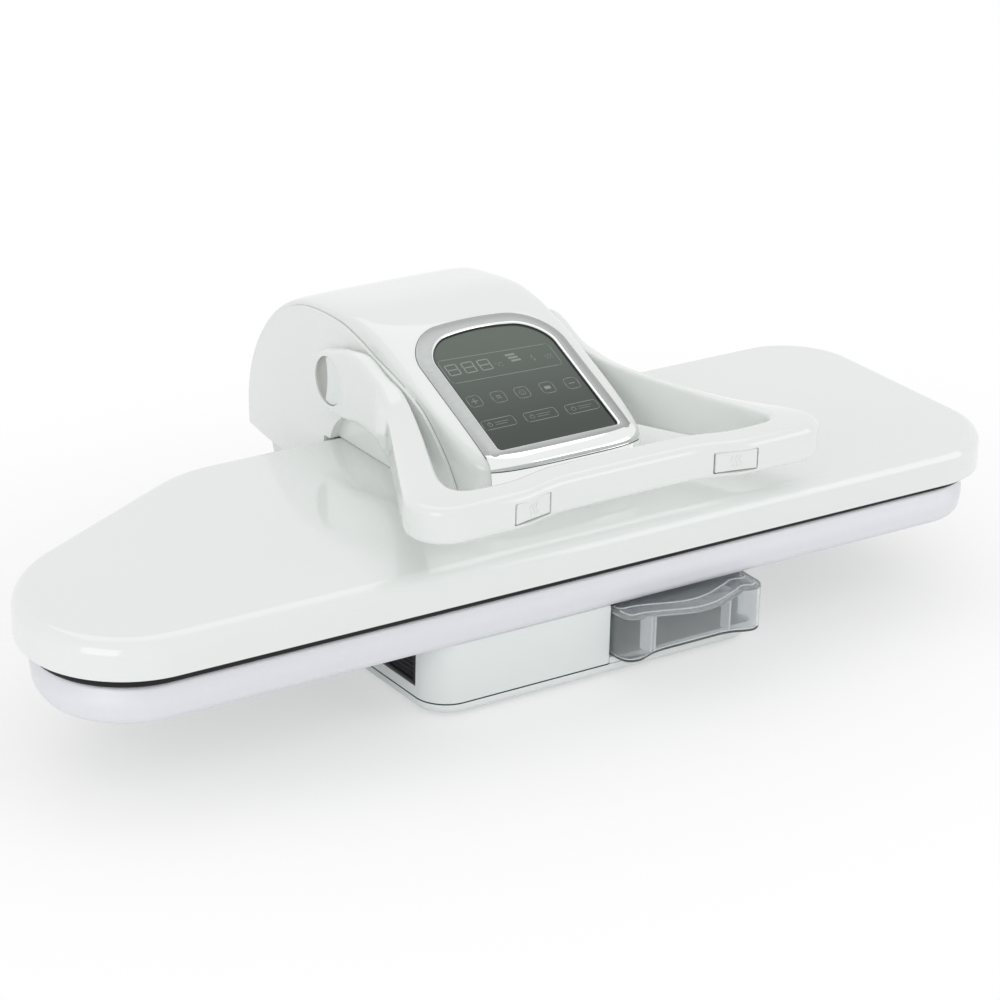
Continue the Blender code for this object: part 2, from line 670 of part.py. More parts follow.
def add_board():
    pan_low = PAN_Z + CLOTH_FOOT_RADIUS
    pan = prism(press_outline(PAN_INSET), pan_low, PAN_TOP_Z)
    drop_flat_face(pan, pan_low)
    thicken(add_object("board_pan", pan, STEEL), PAN_SHEET)
    foam_top = PAN_TOP_Z + FIT + FOAM_THICKNESS
    foam = prism(press_outline(PAN_INSET), PAN_TOP_Z + FIT, foam_top)
    soften(foam, rim_edges(foam, foam_top), CLOTH_TOP_RADIUS - CLOTH, 3)
    add_object("board_foam", foam, FOAM)
    cloth = prism(press_outline(BOARD_INSET), BOARD_Z, BOARD_TOP_Z)
    soften(cloth, rim_edges(cloth, BOARD_TOP_Z), CLOTH_TOP_RADIUS, 3)
    soften(cloth, rim_edges(cloth, BOARD_Z), CLOTH_FOOT_RADIUS, 3)
    bottom = [face for face in cloth.faces if all(abs(v.co.z - BOARD_Z) < FIT / 10 for v in face.verts)]
    bmesh.ops.inset_region(cloth, faces=bottom, thickness=CLOTH_RETURN, use_even_offset=True)
    bmesh.ops.delete(cloth, geom=bottom, context="FACES")
    thicken(add_object("board_cloth", cloth, SILVER_CLOTH), CLOTH)
    rail_top = PAN_TOP_Z - PAN_SHEET - FIT
    for side, x in (("left", BASE_LEFT + BASE_CORNER_RADIUS), ("right", BASE_RIGHT - BASE_CORNER_RADIUS)):
        front = BASE_FRONT_Y + BASE_CORNER_RADIUS
        back = BACK_Y - PAN_INSET - BASE_CORNER_RADIUS
        if side == "right":
            front = BAY_BACK_Y + BASE_WALL
        rail = block((x - RAIL_WIDTH / 2, front, BOARD_Z), (x + RAIL_WIDTH / 2, back, rail_top))
        ends = [f for f in rail.faces if abs(f.normal.y) > abs(f.normal.x) + abs(f.normal.z)]
        foot = [f for f in rail.faces if f.normal.z < -abs(f.normal.x) - abs(f.normal.y)]
        bmesh.ops.delete(rail, geom=ends + foot, context="FACES")
        thicken(add_object("board_rail_" + side, rail, STEEL), PAN_SHEET)


add_board()

# Press: cover, heated plate, element, mat and thermostat
WINDOW_LEFT = HOOD_X - WINDOW_WIDTH / 2
WINDOW_RIGHT = HOOD_X + WINDOW_WIDTH / 2
WINDOW_BACK_Y = BACK_Y - WINDOW_SETBACK
WINDOW_FRONT_Y = WINDOW_BACK_Y - WINDOW_DEPTH


def add_press_plates():
    shell = prism(press_outline(0), PARTING_Z, COVER_TOP_Z)
    soften(shell, rim_edges(shell, COVER_TOP_Z), COVER_EDGE_RADIUS, 5)
    drop_flat_face(shell, PARTING_Z)
    cover = add_object("press_cover", shell, WHITE_GLOSS)
    thicken(cover, COVER_WALL)
    window = block((WINDOW_LEFT, WINDOW_FRONT_Y, COVER_TOP_Z - COVER_WALL - OVERRUN),
                   (WINDOW_RIGHT, WINDOW_BACK_Y, COVER_TOP_Z + OVERRUN))
    combine(cover, add_cutter("cover_window", window))
    plate = prism(press_outline(PLATE_INSET), PLATE_Z, PLATE_TOP_Z)
    soften(plate, rim_edges(plate, PLATE_Z), PLATE_EDGE_RADIUS, 2)
    plate_object = add_object("heat_plate", plate, PLATE_COAT)
    element_reach = ELEMENT_DIAMETER / 2 * ELEMENT_FLAT_SHARE
    element_z = PLATE_TOP_Z + FIT + element_reach
    loop = press_outline(ELEMENT_INSET)
    element = element_tube([(p.x, p.y, element_z) for p in loop])
    mat_z = element_z + element_reach + FIT
    mat = prism(press_outline(MAT_INSET), mat_z, mat_z + MAT_THICKNESS)
    mat_object = add_object("insulation_mat", mat, FELT)
    mat_window = block((WINDOW_LEFT, WINDOW_FRONT_Y, mat_z - OVERRUN),
                       (WINDOW_RIGHT, WINDOW_BACK_Y, mat_z + MAT_THICKNESS + OVERRUN))
    combine(mat_object, add_cutter("mat_window", mat_window))
    sensor_z = PLATE_TOP_Z + FIT + THERMOSTAT_HEIGHT / 2
    sensor_y = (WINDOW_FRONT_Y + WINDOW_BACK_Y) / 2
    sensor = rod(THERMOSTAT_RADIUS, (HOOD_X, sensor_y, sensor_z), THERMOSTAT_HEIGHT, "Z")
    rim_body = prism(press_outline(COVER_WALL + FIT), PARTING_Z + RIM_RECESS, PLATE_TOP_Z)
    rim = add_object("plate_rim", rim_body, BLACK)
    rim_hole = prism(press_outline(PLATE_INSET - FIT), PARTING_Z - OVERRUN, PLATE_TOP_Z + OVERRUN)
    combine(rim, add_cutter("rim_hole", rim_hole))
    return [cover, plate_object, element, mat_object, rim, add_object("thermostat", sensor, BRASS)]


def element_tube(points):
    """A closed loop of round tube lying on the plate."""
    curve = bpy.data.curves.new("heating_element", "CURVE")
    curve.dimensions = "3D"
    spline = curve.splines.new("POLY")
    spline.points.add(len(points) - 1)
    for slot, point in zip(spline.points, points):
        slot.co = (*point, 1)
    spline.use_cyclic_u = True
    curve.bevel_depth = ELEMENT_DIAMETER / 2
    curve.bevel_resolution = 1
    tube = bpy.data.objects.new("heating_element", curve)
    curve.materials.append(STEEL)
    model.objects.link(tube)
    return tube


press_pieces = add_press_plates()

# Hinge: bracket, pin, bushes, arms, tie plate, lift spring
ARM_TOP_Z = COVER_TOP_Z + ARM_CREST - ARM_HEIGHT


def yz_outline(corners, radii, steps=5):
    return [(p.x, p.y) for p in rounded_outline(corners, radii, steps)]


def add_hinge():
    floor_z = TRAY_Z + BASE_WALL + FIT
    foot_front = HOUSING_BACK_Y + FIT + COLUMN_WALL + FIT
    foot_back = foot_front + BRACKET_FOOT_DEPTH
    for side, sign in (("left", -1), ("right", 1)):
        near = HOOD_X + sign * BRACKET_SPREAD / 2
        far = near + sign * BRACKET_SHEET
        corners = [(foot_front, floor_z), (foot_back, floor_z),
                   (HINGE.y + BRACKET_EYE, HINGE.z + BRACKET_EYE),
                   (HINGE.y - BRACKET_EYE, HINGE.z + BRACKET_EYE)]
        plate = side_plate(yz_outline(corners, (0, 0, BRACKET_EYE, BRACKET_EYE)), near, far)
        bracket = add_object("hinge_bracket_" + side, plate, STEEL)
        bore = rod(PIN_RADIUS + FIT, ((near + far) / 2, HINGE.y, HINGE.z), BRACKET_SHEET + OVERRUN)
        combine(bracket, add_cutter("bracket_bore_" + side, bore))
    pin_length = BRACKET_SPREAD + 2 * BRACKET_SHEET + 2 * PIN_OVERHANG
    add_object("hinge_pin", rod(PIN_RADIUS, HINGE, pin_length), STEEL)
    carried = []
    leg_bottom = PLATE_TOP_Z + FIT
    arm_front = WINDOW_FRONT_Y + ARM_HEIGHT
    arm_back = BACK_Y - ELEMENT_INSET - ELEMENT_DIAMETER
    over_cover = COVER_TOP_Z + ARM_SHEET
    for side, sign in (("left", -1), ("right", 1)):
        near = HOOD_X + sign * ARM_SPREAD / 2
        far = near + sign * ARM_SHEET
        corners = [
            (arm_front, leg_bottom), (arm_back, leg_bottom), (arm_back, over_cover),
            (HINGE.y - ARM_EYE, over_cover), (HINGE.y - ARM_EYE, HINGE.z - ARM_EYE),
            (HINGE.y + ARM_EYE, HINGE.z - ARM_EYE), (HINGE.y + ARM_EYE, ARM_TOP_Z - ARM_HEIGHT),
            (HINGE.y - ARM_HEIGHT, ARM_TOP_Z), (arm_front, ARM_TOP_Z),
        ]
        radii = (0, 0, 0, ARM_SHEET / 2, ARM_EYE / 2, ARM_EYE, ARM_HEIGHT, ARM_HEIGHT, ARM_HEIGHT)
        arm = add_object("press_arm_" + side, side_plate(yz_outline(corners, radii), near, far), STEEL)
        middle = ((near + far) / 2, HINGE.y, HINGE.z)
        bore = rod(BUSH_RADIUS + FIT, middle, ARM_SHEET + OVERRUN)
        combine(arm, add_cutter("arm_bore_" + side, bore))
        bush = ring(BUSH_RADIUS, PIN_RADIUS + FIT, middle, BUSH_LENGTH)
        carried += [arm, add_object("hinge_bush_" + side, bush, BRASS)]
    tie_y = (arm_front + arm_back) / 2
    tie = block((HOOD_X - ARM_SPREAD / 2 + FIT, tie_y - TIE_DEPTH / 2, ARM_TOP_Z - ARM_HEIGHT),
                (HOOD_X + ARM_SPREAD / 2 - FIT, tie_y + TIE_DEPTH / 2,
                 ARM_TOP_Z - ARM_HEIGHT + TIE_SHEET))
    carried.append(add_object("arm_tie_plate", tie, STEEL))
    add_lift_spring()
    return carried


def add_lift_spring():
    """A coil round the hinge pin, between the bushes."""
    radius = PIN_RADIUS + FIT + SPRING_WIRE / 2
    count = SPRING_TURNS * SPRING_TURN_POINTS
    length = SPRING_TURNS * SPRING_PITCH
    points = []
    for i in range(count + 1):
        angle = math.tau * i / SPRING_TURN_POINTS
        points.append((HINGE.x - length / 2 + length * i / count,
                       HINGE.y + radius * math.cos(angle), HINGE.z + radius * math.sin(angle)))
    curve = bpy.data.curves.new("lift_spring", "CURVE")
    curve.dimensions = "3D"
    spline = curve.splines.new("POLY")
    spline.points.add(count)
    for slot, point in zip(spline.points, points):
        slot.co = (*point, 1)
    curve.bevel_depth = SPRING_WIRE / 2
    curve.bevel_resolution = 1
    curve.use_fill_caps = True
    curve.materials.append(SPRING_STEEL)
    model.objects.link(bpy.data.objects.new("lift_spring", curve))


def add_column():
    """A shell behind the base that hides the bracket; its back follows the hood's turning."""
    low = HOUSING_Z
    high = PARTING_Z - COLUMN_TOP_DROP
    front = HOUSING_BACK_Y + FIT
    start = -math.acos(COLUMN_FOOT / COLUMN_RADIUS)
    end = math.asin((high - HINGE.z) / COLUMN_RADIUS)
    outline = [(front, low), (HINGE.y + COLUMN_FOOT, low)]
    for i in range(COLUMN_STEPS + 1):
        angle = start + (end - start) * i / COLUMN_STEPS
        outline.append((HINGE.y + COLUMN_RADIUS * math.cos(angle),
                        HINGE.z + COLUMN_RADIUS * math.sin(angle)))
    outline.append((front, high))
    shell = side_plate(outline, HOOD_X - COLUMN_WIDTH / 2, HOOD_X + COLUMN_WIDTH / 2)
    drop_flat_face(shell, high)
    drop_flat_face(shell, low)
    thicken(add_object("rear_column", shell, WHITE_SATIN), COLUMN_WALL)


press_pieces += add_hinge()
add_column()

# Hood: a skin lofted between its side profile and its middle profile
HOOD_FOOT_Z = COVER_TOP_Z + FIT
HOOD_REACH = HINGE.y - (FRONT_Y + HOOD_FRONT)

# Each pair is a point of the side profile and of the middle profile, from the front foot up and
# back to where the round back begins. The first number is a share of the way from the hinge to
# the hood's front, the second a share of the way from the cover's top to the hood's top.
HOOD_PROFILE_SHARES = [
    ((0.901, 0.000), (0.996, 0.000)),
    ((0.869, 0.124), (1.000, 0.141)),
    ((0.833, 0.229), (1.000, 0.264)),
    ((0.785, 0.342), (0.992, 0.360)),
    ((0.716, 0.473), (0.942, 0.424)),
    ((0.644, 0.578), (0.817, 0.545)),
    ((0.543, 0.663), (0.656, 0.700)),
    ((0.463, 0.714), (0.507, 0.842)),
    ((0.362, 0.770), (0.378, 0.945)),
    ((0.241, 0.845), (0.274, 0.990)),
    ((0.121, 0.888), (0.153, 0.997)),
]


def smooth_line(points, steps):
    """Points along a Catmull-Rom curve through the given ones."""
    padded = [points[0]] + list(points) + [points[-1]]
    line = []
    for a, b, c, d in zip(padded, padded[1:], padded[2:], padded[3:]):
        for i in range(steps):
            t = i / steps
            line.append(0.5 * (2 * b + (c - a) * t + (2 * a - 5 * b + 4 * c - d) * t * t
                               + (3 * b - a - 3 * c + d) * t ** 3))
    line.append(points[-1])
    return line


def hood_profiles():
    """The side and the middle profile as (y, z) points, front foot first."""
    side, middle = [], []
    for side_share, middle_share in HOOD_PROFILE_SHARES:
        for target, share in ((side, side_share), (middle, middle_share)):
            target.append(Vector((HINGE.y - HOOD_REACH * share[0], HOOD_FOOT_Z + HOOD_TOP * share[1])))
    for i in range(HOOD_TAIL_STEPS):
        share = (i + HOOD_TAIL_LEAD_SHARE) / (HOOD_TAIL_STEPS - 1 + HOOD_TAIL_LEAD_SHARE)
        angle = math.radians(90) * (1 - share) + HOOD_TAIL_ANGLE * share
        for target, radius in ((side, HOOD_SIDE_RADIUS), (middle, HOOD_RADIUS)):
            target.append(Vector((HINGE.y + radius * math.cos(angle), HINGE.z + radius * math.sin(angle))))
    return smooth_line(side, 2), smooth_line(middle, 2)


SIDE_PROFILE, MIDDLE_PROFILE = hood_profiles()


def hood_row(index, reach=1.0):
    """One row of hood points across X, rising from the side profile to the middle profile."""
    side, middle = SIDE_PROFILE[index], MIDDLE_PROFILE[index]
    along = min(1, max(0, (side.x - DISPLAY_ORIGIN.y) / FRAME_LENGTH))
    power = HOOD_FRONT_POWER + (HOOD_BACK_POWER - HOOD_FRONT_POWER) * along ** 3
    row = []
    for i in range(HOOD_CROWN_STEPS + 1):
        angle = math.radians(90) * (2 * i / HOOD_CROWN_STEPS - 1)
        across = math.sin(angle) * reach
        rise = max(0, 1 - abs(across) ** power) ** (1 / power)
        point = side.lerp(middle, rise)
        row.append(Vector((HOOD_X + across * (HOOD_HALF - FIT), point.x, point.y)))
    return row


def add_hood():
    skin, _ = loft([hood_row(i) for i in range(len(SIDE_PROFILE))], close_row=False)
    hood = add_object("hood_skin", skin, WHITE_GLOSS)
    if hood.data.polygons[len(hood.data.polygons) // 2].normal.z < 0:
        hood.data.flip_normals()
    thicken(hood, HOOD_WALL)
    return hood


def side_cover_outline():
    """The side profile closed along the cover's top, down its back and under the round part."""
    outline = [(p.x, p.y) for p in SIDE_PROFILE]
    tail = SIDE_PROFILE[-1]
    corner_y = BACK_Y + COVER_WALL / 4
    outline += [(corner_y, tail.y), (corner_y, HOOD_FOOT_Z)]
    return outline


def add_side_cover(side, sign):
    near = HOOD_X + sign * HOOD_HALF
    far = HOOD_X + sign * SIDE_COVER_OUT
    cover = add_object("side_cover_" + side, side_plate(side_cover_outline(), near, far), WHITE_GLOSS)
    rim = HOOD_SIDE_RADIUS - DOME_MARGIN
    profile = [(0, -SIDE_COVER_SHEET / 2), (rim, -SIDE_COVER_SHEET / 2)]
    rings = 8
    for i in range(rings + 1):
        share = 1 - i / rings
        profile.append((rim * share, DOME_HEIGHT * (1 - share ** 2)))
    dome = turned(profile, (0, 0, 0), "Z", 72)
    turn = Matrix.Rotation(math.radians(90) * sign, 4, "Y")
    place = Matrix.Translation((far, HINGE.y, HINGE.z)) @ turn
    bmesh.ops.transform(dome, matrix=place, verts=dome.verts)
    dome_object = as_cutter(add_object("dome_" + side, dome, WHITE_GLOSS, cutters))
    arch_centre = (far, HINGE.y - HOOD_SIDE_RADIUS * ARCH_AHEAD_SHARE, COVER_TOP_Z - ARCH_DROP)
    arch = rod(ARCH_RADIUS, arch_centre, 4 * DOME_HEIGHT, segments=48)
    combine(dome_object, add_cutter("arch_" + side, arch))
    ahead = block((far - 2 * DOME_HEIGHT, HINGE.y - 2 * HOOD_SIDE_RADIUS, HINGE.z - 2 * HOOD_SIDE_RADIUS),
                  (far + 2 * DOME_HEIGHT, PIVOT.y - HUB_RADIUS - 2 * FIT, HINGE.z + 2 * HOOD_SIDE_RADIUS))
    combine(dome_object, add_cutter("dome_front_" + side, ahead))
    below = block((far - 2 * DOME_HEIGHT, HINGE.y - 2 * HOOD_SIDE_RADIUS, HINGE.z - 2 * HOOD_SIDE_RADIUS),
                  (far + 2 * DOME_HEIGHT, BACK_Y + COVER_WALL / 4, HOOD_FOOT_Z))
    combine(dome_object, add_cutter("dome_foot_" + side, below))
    tail = block((far - 2 * DOME_HEIGHT, HINGE.y - 2 * HOOD_SIDE_RADIUS, HINGE.z - 2 * HOOD_SIDE_RADIUS),
                 (far + 2 * DOME_HEIGHT, HINGE.y + 2 * HOOD_SIDE_RADIUS, SIDE_PROFILE[-1].y))
    combine(dome_object, add_cutter("dome_tail_" + side, tail))
    combine(cover, dome_object, "UNION")
    boss_in = HOOD_HALF + SIDE_COVER_SHEET / 2
    boss_out = HUB_IN - FIT
    boss = rod(HUB_RADIUS - 2 * FIT, (HOOD_X + sign * (boss_in + boss_out) / 2, PIVOT.y, PIVOT.z),
               boss_out - boss_in, segments=40)
    combine(cover, as_cutter(add_object("boss_" + side, boss, WHITE_GLOSS, cutters)), "UNION")
    bore = rod(SHAFT_RADIUS + FIT, (HOOD_X + sign * HUB_OUT, PIVOT.y, PIVOT.z), 4 * HUB_RADIUS)
    combine(cover, add_cutter("shaft_bore_" + side, bore))
    return cover


def add_hood_pieces():
    hood = add_hood()
    return [hood, add_side_cover("left", -1), add_side_cover("right", 1)]


hood_pieces = add_hood_pieces()
hood = hood_pieces[0]
press_pieces += hood_pieces

# Display: chrome frame, glass, display module and the chrome trim below it
DISPLAY_PLACE = Matrix.Translation(DISPLAY_ORIGIN) @ Matrix.Rotation(DISPLAY_SLOPE, 4, "X")


def frame_outline(inset, crest=0.0):
    """A rectangle with round top corners and an arched top edge, as the frame is seen square on."""
    half = FRAME_WIDTH / 2 - inset
    top = FRAME_LENGTH - inset - crest
    radii = (FRAME_FOOT_RADIUS, FRAME_FOOT_RADIUS, FRAME_TOP_RADIUS, FRAME_TOP_RADIUS)
    radii = [max(radius - inset, GLASS_FOOT_RADIUS) for radius in radii]
    outline = box_outline(-half, inset, half, top, radii)
    for point in outline:
        share = point.x / half
        up = max(0, (point.y - inset) / (top - inset))
        point.y -= FRAME_ARCH * share ** 2 * up ** 2
    return outline


def on_display(mesh_data):
    bmesh.ops.transform(mesh_data, matrix=DISPLAY_PLACE, verts=mesh_data.verts)
    return mesh_data


def add_display():
    opening = on_display(prism(frame_outline(-FIT), -4 * FRAME_THICKNESS, 4 * FRAME_THICKNESS))
    combine(hood, add_cutter("display_opening", opening))
    frame_low = FRAME_PROUD - FRAME_THICKNESS
    body = prism(frame_outline(0), frame_low, FRAME_PROUD)
    soften(body, rim_edges(body, FRAME_PROUD), FRAME_PROUD, 2)
    frame = add_object("chrome_frame", on_display(body), CHROME)
    hole = prism(frame_outline(FRAME_BAND, FRAME_CREST), frame_low - OVERRUN, FRAME_PROUD + OVERRUN)
    combine(frame, add_cutter("frame_hole", on_display(hole)))
    glass_top = FRAME_PROUD - GLASS_DROP
    glass = prism(frame_outline(FRAME_BAND + FIT, FRAME_CREST), glass_top - GLASS_THICKNESS, glass_top)
    glass_object = add_object("display_glass", on_display(glass), DISPLAY_GLASS)
    module_top = glass_top - GLASS_THICKNESS - FIT
    module_outline = frame_outline(FRAME_BAND + MODULE_INSET, FRAME_CREST)
    module = prism(module_outline, module_top - MODULE_THICKNESS, module_top)
    module_object = add_object("display_module", on_display(module), CIRCUIT)
    return [frame, glass_object, module_object, add_trim()]


def add_trim():
    """A chrome strip that follows the hood's front below the frame."""
    low, high = TRIM_ROWS
    reach = FRAME_WIDTH / HOOD_WIDTH
    rows = [hood_row(i, reach) for i in range(low, high + 1)]
    strip, _ = loft(rows, close_row=False)
    bmesh.ops.recalc_face_normals(strip, faces=strip.faces)
    if sum(face.normal.y for face in strip.faces) > 0:
        bmesh.ops.reverse_faces(strip, faces=strip.faces)
    strip.normal_update()
    for vert in strip.verts:
        vert.co += vert.normal * FIT
    mesh = bpy.data.meshes.new("chrome_trim")
    strip.to_mesh(mesh)
    strip.free()
    trim = bpy.data.objects.new("chrome_trim", mesh)
    model.objects.link(trim)
    mesh.materials.append(CHROME)
    mesh.shade_smooth()
    thicken(trim, TRIM_THICKNESS, 1.0)
    return trim


press_pieces += add_display()

# Handle: a U-shaped bar on two hubs, its shaft, caps, steam buttons and their switches
# Sections of the left half, hub first. Height shares run from the cover's top to the pivot, for the
# bottom, the outer top edge and the inner top edge. Each row here is beside the hub: how far forward
# of the pivot it is, as a share of the hub's radius, and the three heights.
HANDLE_HUB_SHARES = [
    (-0.3333, 0.7080, 1.2743, 1.2743),
    (0.6296, 0.5310, 1.5044, 1.5398),
    (1.1111, 0.5487, 1.5929, 1.6460),
]

# Each row here is the outer edge's share out and forward, the inner edge's, and the three heights.
# A share forward runs from the pivot to the bar's front.
# A share out is 1 at the hub's outer face, or at the side cover's for the inner edge, 0 at the
# hood's middle and 2 at the handle's widest place.
HANDLE_ARM_SHARES = [
    (0.9873, 0.1495, 1.0096, 0.1495, 0.5487, 1.5752, 1.6283),
    (0.9826, 0.2326, 1.0067, 0.2326, 0.4779, 1.3982, 1.4690),
    (1.0224, 0.2877, 1.0192, 0.3110, 0.4212, 1.2885, 1.3947),
    (1.1291, 0.3757, 1.1067, 0.4090, 0.3912, 1.1522, 1.3115),
    (1.3701, 0.5156, 1.2606, 0.5422, 0.4177, 1.0460, 1.2407),
    (1.6099, 0.6478, 1.4231, 0.6711, 0.4513, 1.0265, 1.1858),
    (1.8244, 0.7654, 1.5644, 0.7854, 0.4903, 1.0442, 1.1628),
    (1.9656, 0.8465, 1.6154, 0.8532, 0.5221, 1.0796, 1.1681),
    (2.0000, 0.9136, 1.6154, 0.8804, 0.5487, 1.0973, 1.1681),
    (1.9197, 0.9668, 1.5769, 0.8970, 0.5664, 1.1062, 1.1593),
    (1.7590, 0.9934, 1.5096, 0.9053, 0.5752, 1.1150, 1.1504),
    (1.5295, 1.0000, 1.4327, 0.9070, 0.5841, 1.1239, 1.1504),
    (1.0993, 1.0000, 1.2452, 0.9070, 0.5841, 1.1239, 1.1504),
    (0.9403, 0.9950, 1.1010, 0.9020, 0.5841, 1.1239, 1.1504),
    (0.7992, 0.9801, 0.9497, 0.8887, 0.5841, 1.1239, 1.1504),
    (0.6582, 0.9684, 0.7821, 0.8771, 0.5841, 1.1239, 1.1504),
    (0.5266, 0.9635, 0.6257, 0.8721, 0.5841, 1.1239, 1.1504),
    (0.0000, 0.9618, 0.0000, 0.8704, 0.5841, 1.1239, 1.1504),
]


def handle_out(share, face):
    """How far from the hood's middle a share out lies, for an edge that starts at a face."""
    return face * min(share, 1) + (HANDLE_WIDTH / 2 - face) * max(share - 1, 0)


def handle_rows():
    """The sections as outer and inner edge (out, forward) and three heights, in metres."""
    rows = []
    for forward, *heights in HANDLE_HUB_SHARES:
        edges = [(HUB_OUT - FIT, forward * HUB_RADIUS), (HUB_IN, forward * HUB_RADIUS)]
        rows.append((edges, [share * HANDLE_RISE for share in heights]))
    for outer, outer_forward, inner, inner_forward, *heights in HANDLE_ARM_SHARES:
        edges = [(handle_out(outer, HUB_OUT), outer_forward * HANDLE_REACH),
                 (handle_out(inner, SIDE_COVER_OUT), inner_forward * HANDLE_REACH)]
        rows.append((edges, [share * HANDLE_RISE for share in heights]))
    return rows


def handle_section(edges, heights):
    """Twelve points round one section, its four corners cut by short arcs."""
    outer, inner = (Vector((-out, -forward, 0)) for out, forward in edges)
    low, outer_top, inner_top = (Vector((0, 0, height - HANDLE_RISE)) for height in heights)
    corners = [outer + low, inner + low, inner + inner_top, outer + outer_top]
    radius = min(HANDLE_EDGE, (outer - inner).length * HANDLE_EDGE_SHARE)
    points = []
    for i in range(4):
        corner = corners[i]
        back = (corners[i - 1] - corner).normalized()
        ahead = (corners[(i + 1) % 4] - corner).normalized()
        inside = back + ahead
        points += [corner + back * radius, corner + inside * radius * (1 - math.sqrt(0.5)),
                   corner + ahead * radius]
    return points


def add_handle():
    body, grid = loft([handle_section(*row) for row in handle_rows()], close_row=True)
    body.faces.new(grid[0])
    handle = add_object("handle", body, WHITE_GLOSS)
    handle.location = PIVOT
    mirror = handle.modifiers.new("Mirror", "MIRROR")
    mirror.use_axis = (True, False, False)
    mirror.merge_threshold = 0.0001
    pieces = [handle]
    for side, sign in (("left", -1), ("right", 1)):
        middle = (HOOD_X + sign * (HUB_IN + HUB_OUT) / 2, PIVOT.y, PIVOT.z)
        hub = rod(HUB_RADIUS, middle, HUB_THICKNESS, segments=40)
        combine(handle, as_cutter(add_object("hub_" + side, hub, WHITE_GLOSS, cutters)), "UNION")
        bore = rod(SHAFT_RADIUS + FIT, middle, 3 * HUB_THICKNESS)
        combine(handle, add_cutter("hub_bore_" + side, bore))
        recess_x = HOOD_X + sign * (HUB_OUT - CAP_RECESS / 2 + OVERRUN / 2)
        recess = rod(CAP_RADIUS + FIT, (recess_x, PIVOT.y, PIVOT.z), CAP_RECESS + OVERRUN, segments=40)
        combine(handle, add_cutter("cap_recess_" + side, recess))
        cap_x = HOOD_X + sign * (HUB_OUT - CAP_RECESS + FIT + CAP_THICKNESS / 2)
        cap = rod(CAP_RADIUS, (cap_x, PIVOT.y, PIVOT.z), CAP_THICKNESS, segments=40)
        pieces.append(add_object("pivot_cap_" + side, cap, WHITE_SATIN))
    shaft_length = 2 * (HUB_OUT - CAP_RECESS)
    pieces.append(add_object("handle_shaft", rod(SHAFT_RADIUS, PIVOT, shaft_length), STEEL))
    buttons = []
    for side, sign in (("left", -1), ("right", 1)):
        x = HOOD_X + sign * HUB_OUT * BUTTON_ALONG_SHARE
        face_y = FRONT_Y - HANDLE_OVERHANG + BUTTON_SETBACK
        z = COVER_TOP_Z + HANDLE_RISE * BUTTON_RISE_SHARE
        half_w, half_h = BUTTON_WIDTH / 2, BUTTON_HEIGHT / 2
        place = (Matrix.Translation((x, face_y, z))
                 @ Matrix.Rotation(-sign * BUTTON_TURN, 4, "Z"))
        pocket = block((-half_w, -OVERRUN, -half_h), (half_w, BUTTON_POCKET, half_h))
        bmesh.ops.transform(pocket, matrix=place, verts=pocket.verts)
        combine(handle, add_cutter("button_pocket_" + side, pocket))
        cap = block((-half_w + BUTTON_GAP, -BUTTON_PROUD, -half_h + BUTTON_GAP),
                    (half_w - BUTTON_GAP, BUTTON_DEPTH - BUTTON_PROUD, half_h - BUTTON_GAP), BUTTON_EDGE)
        bmesh.ops.transform(cap, matrix=place, verts=cap.verts)
        buttons.append(add_object("steam_button_" + side, cap, WHITE_GLOSS))
        back = BUTTON_POCKET - FIT
        switch = block((-SWITCH_WIDTH / 2, back - SWITCH_DEPTH, -SWITCH_HEIGHT / 2),
                       (SWITCH_WIDTH / 2, back, SWITCH_HEIGHT / 2))
        bmesh.ops.transform(switch, matrix=place, verts=switch.verts)
        pieces.append(add_object("steam_switch_" + side, switch, BLACK))
    return pieces, buttons


handle_pieces, button_pieces = add_handle()

# Inside the base: pump and power board, and the gland where the mains lead enters

def add_base_inside():
    floor_z = TRAY_Z + BASE_WALL + FIT
    pump_x = BAY_LEFT - BASE_WALL - 2 * PUMP_RADIUS
    pump_y = (BASE_FRONT_Y + BAY_BACK_Y) / 2
    add_object("water_pump", rod(PUMP_RADIUS, (pump_x, pump_y, floor_z + PUMP_RADIUS), PUMP_LENGTH, "Y"),
               BLACK)
    board_y = HOUSING_BACK_Y - BASE_WALL - POWER_DEPTH - BASE_BACK_RADIUS
    board = block((HOOD_X - POWER_WIDTH / 2, board_y, floor_z),
                  (HOOD_X + POWER_WIDTH / 2, board_y + POWER_DEPTH, floor_z + POWER_SHEET))
    add_object("power_board", board, CIRCUIT)
    gland_x = BASE_LEFT + BASE_CORNER_RADIUS + GLAND_FLANGE
    gland_z = HOUSING_Z + HOUSING_HEIGHT / 2
    start = HOUSING_BACK_Y + FIT
    profile = [(0, 0), (GLAND_FLANGE, 0), (GLAND_FLANGE, BASE_WALL), (GLAND_RADIUS, BASE_WALL),
               (GLAND_NECK, GLAND_LENGTH), (0, GLAND_LENGTH)]
    gland = turned(profile, (0, 0, 0), "Y", 24)
    bmesh.ops.translate(gland, verts=gland.verts, vec=(gland_x, start, gland_z))
    add_object("cord_gland", gland, BLACK)


add_base_inside()

# Joint axes as empties, and the pieces that turn or slide with them


def axis_empty(name, place):
    empty = bpy.data.objects.new(name, None)
    empty.location = place
    model.objects.link(empty)
    return empty


def carry(pieces, empty):
    for piece in pieces:
        piece.parent = empty
        piece.matrix_parent_inverse = Matrix.Translation(-empty.matrix_world.translation)


press_axis = axis_empty("press_axis", HINGE)
handle_axis = axis_empty("handle_axis", PIVOT)
tank_axis = axis_empty("tank_axis", (0, 0, 0))
bpy.context.view_layer.update()
carry(press_pieces, press_axis)
carry(handle_pieces + button_pieces, handle_axis)
carry(tank_pieces, tank_axis)
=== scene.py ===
import math

